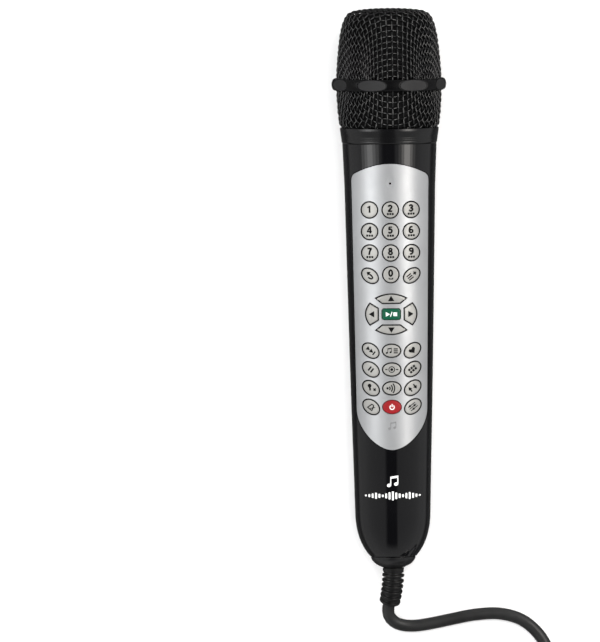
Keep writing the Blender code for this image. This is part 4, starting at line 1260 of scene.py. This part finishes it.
def make_tail():
    line = [(RELIEF_ROOT, 5.3), (RELIEF_ROOT + 0.1, 5.65), (RELIEF_ROOT + 0.5, 6.4), (19.2, 8.25),
            (20.2, 9.4),
            (21.0, 10.15), (22.0, 10.7), (22.7, 10.92), (23.0, 10.9), (23.1, 10.75), (23.1, 7.6), (28.0, 7.6),
            (28.0, 4.6), (RELIEF_ROOT, 4.6)]
    cap = turned("tail_bezel", line, 128, MATERIALS["tail"], sharp=45)
    settle(cap, MAIN, "tail_black", "tail_cap")

    outline = [(30.3, RELIEF_CORE), (30.3, 7.0), (28.3, 7.0), (28.3, RELIEF_CORE), (17.6, RELIEF_CORE),
               (17.5, 5.0), (17.3, 5.2), (15.6, 5.1), (15.3, 4.9), (15.1, SLEEVE_CORE)]
    for rib in range(RIB_COUNT):
        middle = 13.9 - RIB_PITCH * rib
        radius = 5.45 - 0.06 * rib
        outline += [(middle + 0.72, SLEEVE_CORE), (middle + 0.60, SLEEVE_CORE + 0.12),
                    (middle + 0.50, radius - 0.18),
                    (middle + 0.30, radius), (middle - 0.30, radius), (middle - 0.50, radius - 0.18),
                    (middle - 0.60, SLEEVE_CORE + 0.12), (middle - 0.72, SLEEVE_CORE)]
    outline += [(0.15, SLEEVE_CORE), (0.0, SLEEVE_CORE - 0.15), (0.0, RELIEF_BORE)]
    outline += [(y, RELIEF_BORE) for y in (3.0, 6.0, 9.0, 12.0, 15.0, 18.0)] + [(30.3, RELIEF_BORE)]
    sides = 64
    vertices = []
    for station, radius in outline:
        here, across, up = relief_frame(station)
        for i in range(sides):
            angle = TURN * i / sides
            vertices.append(here + across * radius * math.cos(angle) + up * radius * math.sin(angle))
    relief = make("cord_strain_sleeve", vertices, tunnel_faces(len(outline), sides, True, True),
                  MATERIALS["relief"], sharp=45)
    settle(relief, MAIN, "relief_rubber", "strain_relief")


# ---------------------------------------------------------------- the rest

def finish_frame_nodes():
    """CAD nodes that keep their own shape get their finish."""
    finishes = {
        "rear_shell": "shell", "capsule": "capsule", "capsule_mount": "cushion", "keypad_mat": "mat",
        "main_board": "board", "processor_chip": "chip", "memory_chip": "chip", "status_light": "lens",
        "capsule_leads": "lead", "inner_cable": "cord", "cable_clamp": "nylon",
        "shell_screw_1": "steel", "shell_screw_2": "steel", "shell_screw_3": "steel",
                "shell_screw_4": "steel",
    }
    for node, key in finishes.items():
        piece = frame["nodes"][node]
        piece.data.materials.clear()
        piece.data.materials.append(MATERIALS[key])
        piece.data.shade_smooth()
        piece.data.set_sharp_from_angle(angle=math.radians(30))


def make_floor():
    material, nodes, links, shader = new_material("floor_paper", (0.86, 0.86, 0.86), 0.7)
    tint(nodes, links, shader, noise(nodes, links, 4.0), (0.93, 0.93, 0.93), (0.95, 0.95, 0.95))
    mesh = bpy.data.meshes.new("floor")
    edge = 6.0
    mesh.from_pydata([(-edge, -edge, 0), (edge, -edge, 0), (edge, edge, 0), (-edge, edge, 0)], [],
                     [(0, 1, 2, 3)])
    mesh.materials.append(material)
    floor = linked("floor", mesh)
    floor.visible_glossy = False


def area_light(name, place, aim, size, power, colour=(1, 1, 1)):
    data = bpy.data.lights.new(name, 'AREA')
    data.shape = 'RECTANGLE'
    data.size, data.size_y = size
    data.energy = power
    data.color = colour
    light = linked(name, data)
    light.location = place
    light.rotation_euler = (Vector(aim) - Vector(place)).to_track_quat('-Z', 'Y').to_euler()
    return light


def soft_box(name, place, strips, colour):
    """A long soft box that is brightest along its middle: strips of light, each narrower and nearer."""
    toward = (Vector(BOX_AIM) - Vector(place)).normalized()
    for step, (width, power) in enumerate(strips):
        area_light(f"{name}_{step}", Vector(place) + toward * STRIP_STEP * step, BOX_AIM,
                   (BOX_LENGTH - STRIP_STEP * step, width), power, colour)


def make_lights():
    """Two long soft boxes either side of the head, an even fill, and a pale room that is dark overhead."""
    soft_box("box_left", *BOX_LEFT)
    soft_box("box_right", *BOX_RIGHT)
    fill = area_light("fill_overhead", (0.0, 0.0, 2.4), (0.0, 0.0, 0.0), (3.0, 3.0), FILL_POWER)
    fill.visible_glossy = False
    world = bpy.data.worlds.new("room")
    world.use_nodes = True
    nodes, links = world.node_tree.nodes, world.node_tree.links
    apart = nodes.new("ShaderNodeSeparateXYZ")
    links.new(nodes.new("ShaderNodeTexCoord").outputs["Generated"], apart.inputs["Vector"])
    walls = ramp_of(nodes, links, apart.outputs["Z"], WALL_LEVELS)
    gap = ramp_of(nodes, links, apart.outputs["X"], BAND_ACROSS)
    high = ramp_of(nodes, links, apart.outputs["Z"], BAND_RISE)
    dark = nodes.new("ShaderNodeMix")
    dark.inputs["A"].default_value = 1.0
    links.new(high, dark.inputs["Factor"])
    links.new(gap, dark.inputs["B"])
    room = nodes.new("ShaderNodeMath")
    room.operation = 'MULTIPLY'
    links.new(walls, room.inputs[0])
    links.new(dark.outputs["Result"], room.inputs[1])
    links.new(room.outputs["Value"], nodes["Background"].inputs["Color"])
    bpy.context.scene.world = world
    bpy.context.scene.view_settings.view_transform = 'Standard'


def ramp_of(nodes, links, source, stops):
    """A grey value set by stops along one part of the direction, which runs from -1 to 1."""
    level = nodes.new("ShaderNodeMapRange")
    level.inputs["From Min"].default_value = -1.0
    links.new(source, level.inputs["Value"])
    ramp = nodes.new("ShaderNodeValToRGB")
    while len(ramp.color_ramp.elements) < len(stops):
        ramp.color_ramp.elements.new(0.5)
    for element, (place, value) in zip(ramp.color_ramp.elements, stops):
        element.position = (place + 1) / 2
        element.color = (value, value, value, 1.0)
    links.new(level.outputs["Result"], ramp.inputs["Fac"])
    return ramp.outputs["Color"]


make_camera()
make_cord()
make_head()
make_collar()
make_shells()
make_panel()
make_keys()
make_tail()
finish_frame_nodes()
make_floor()
make_lights()
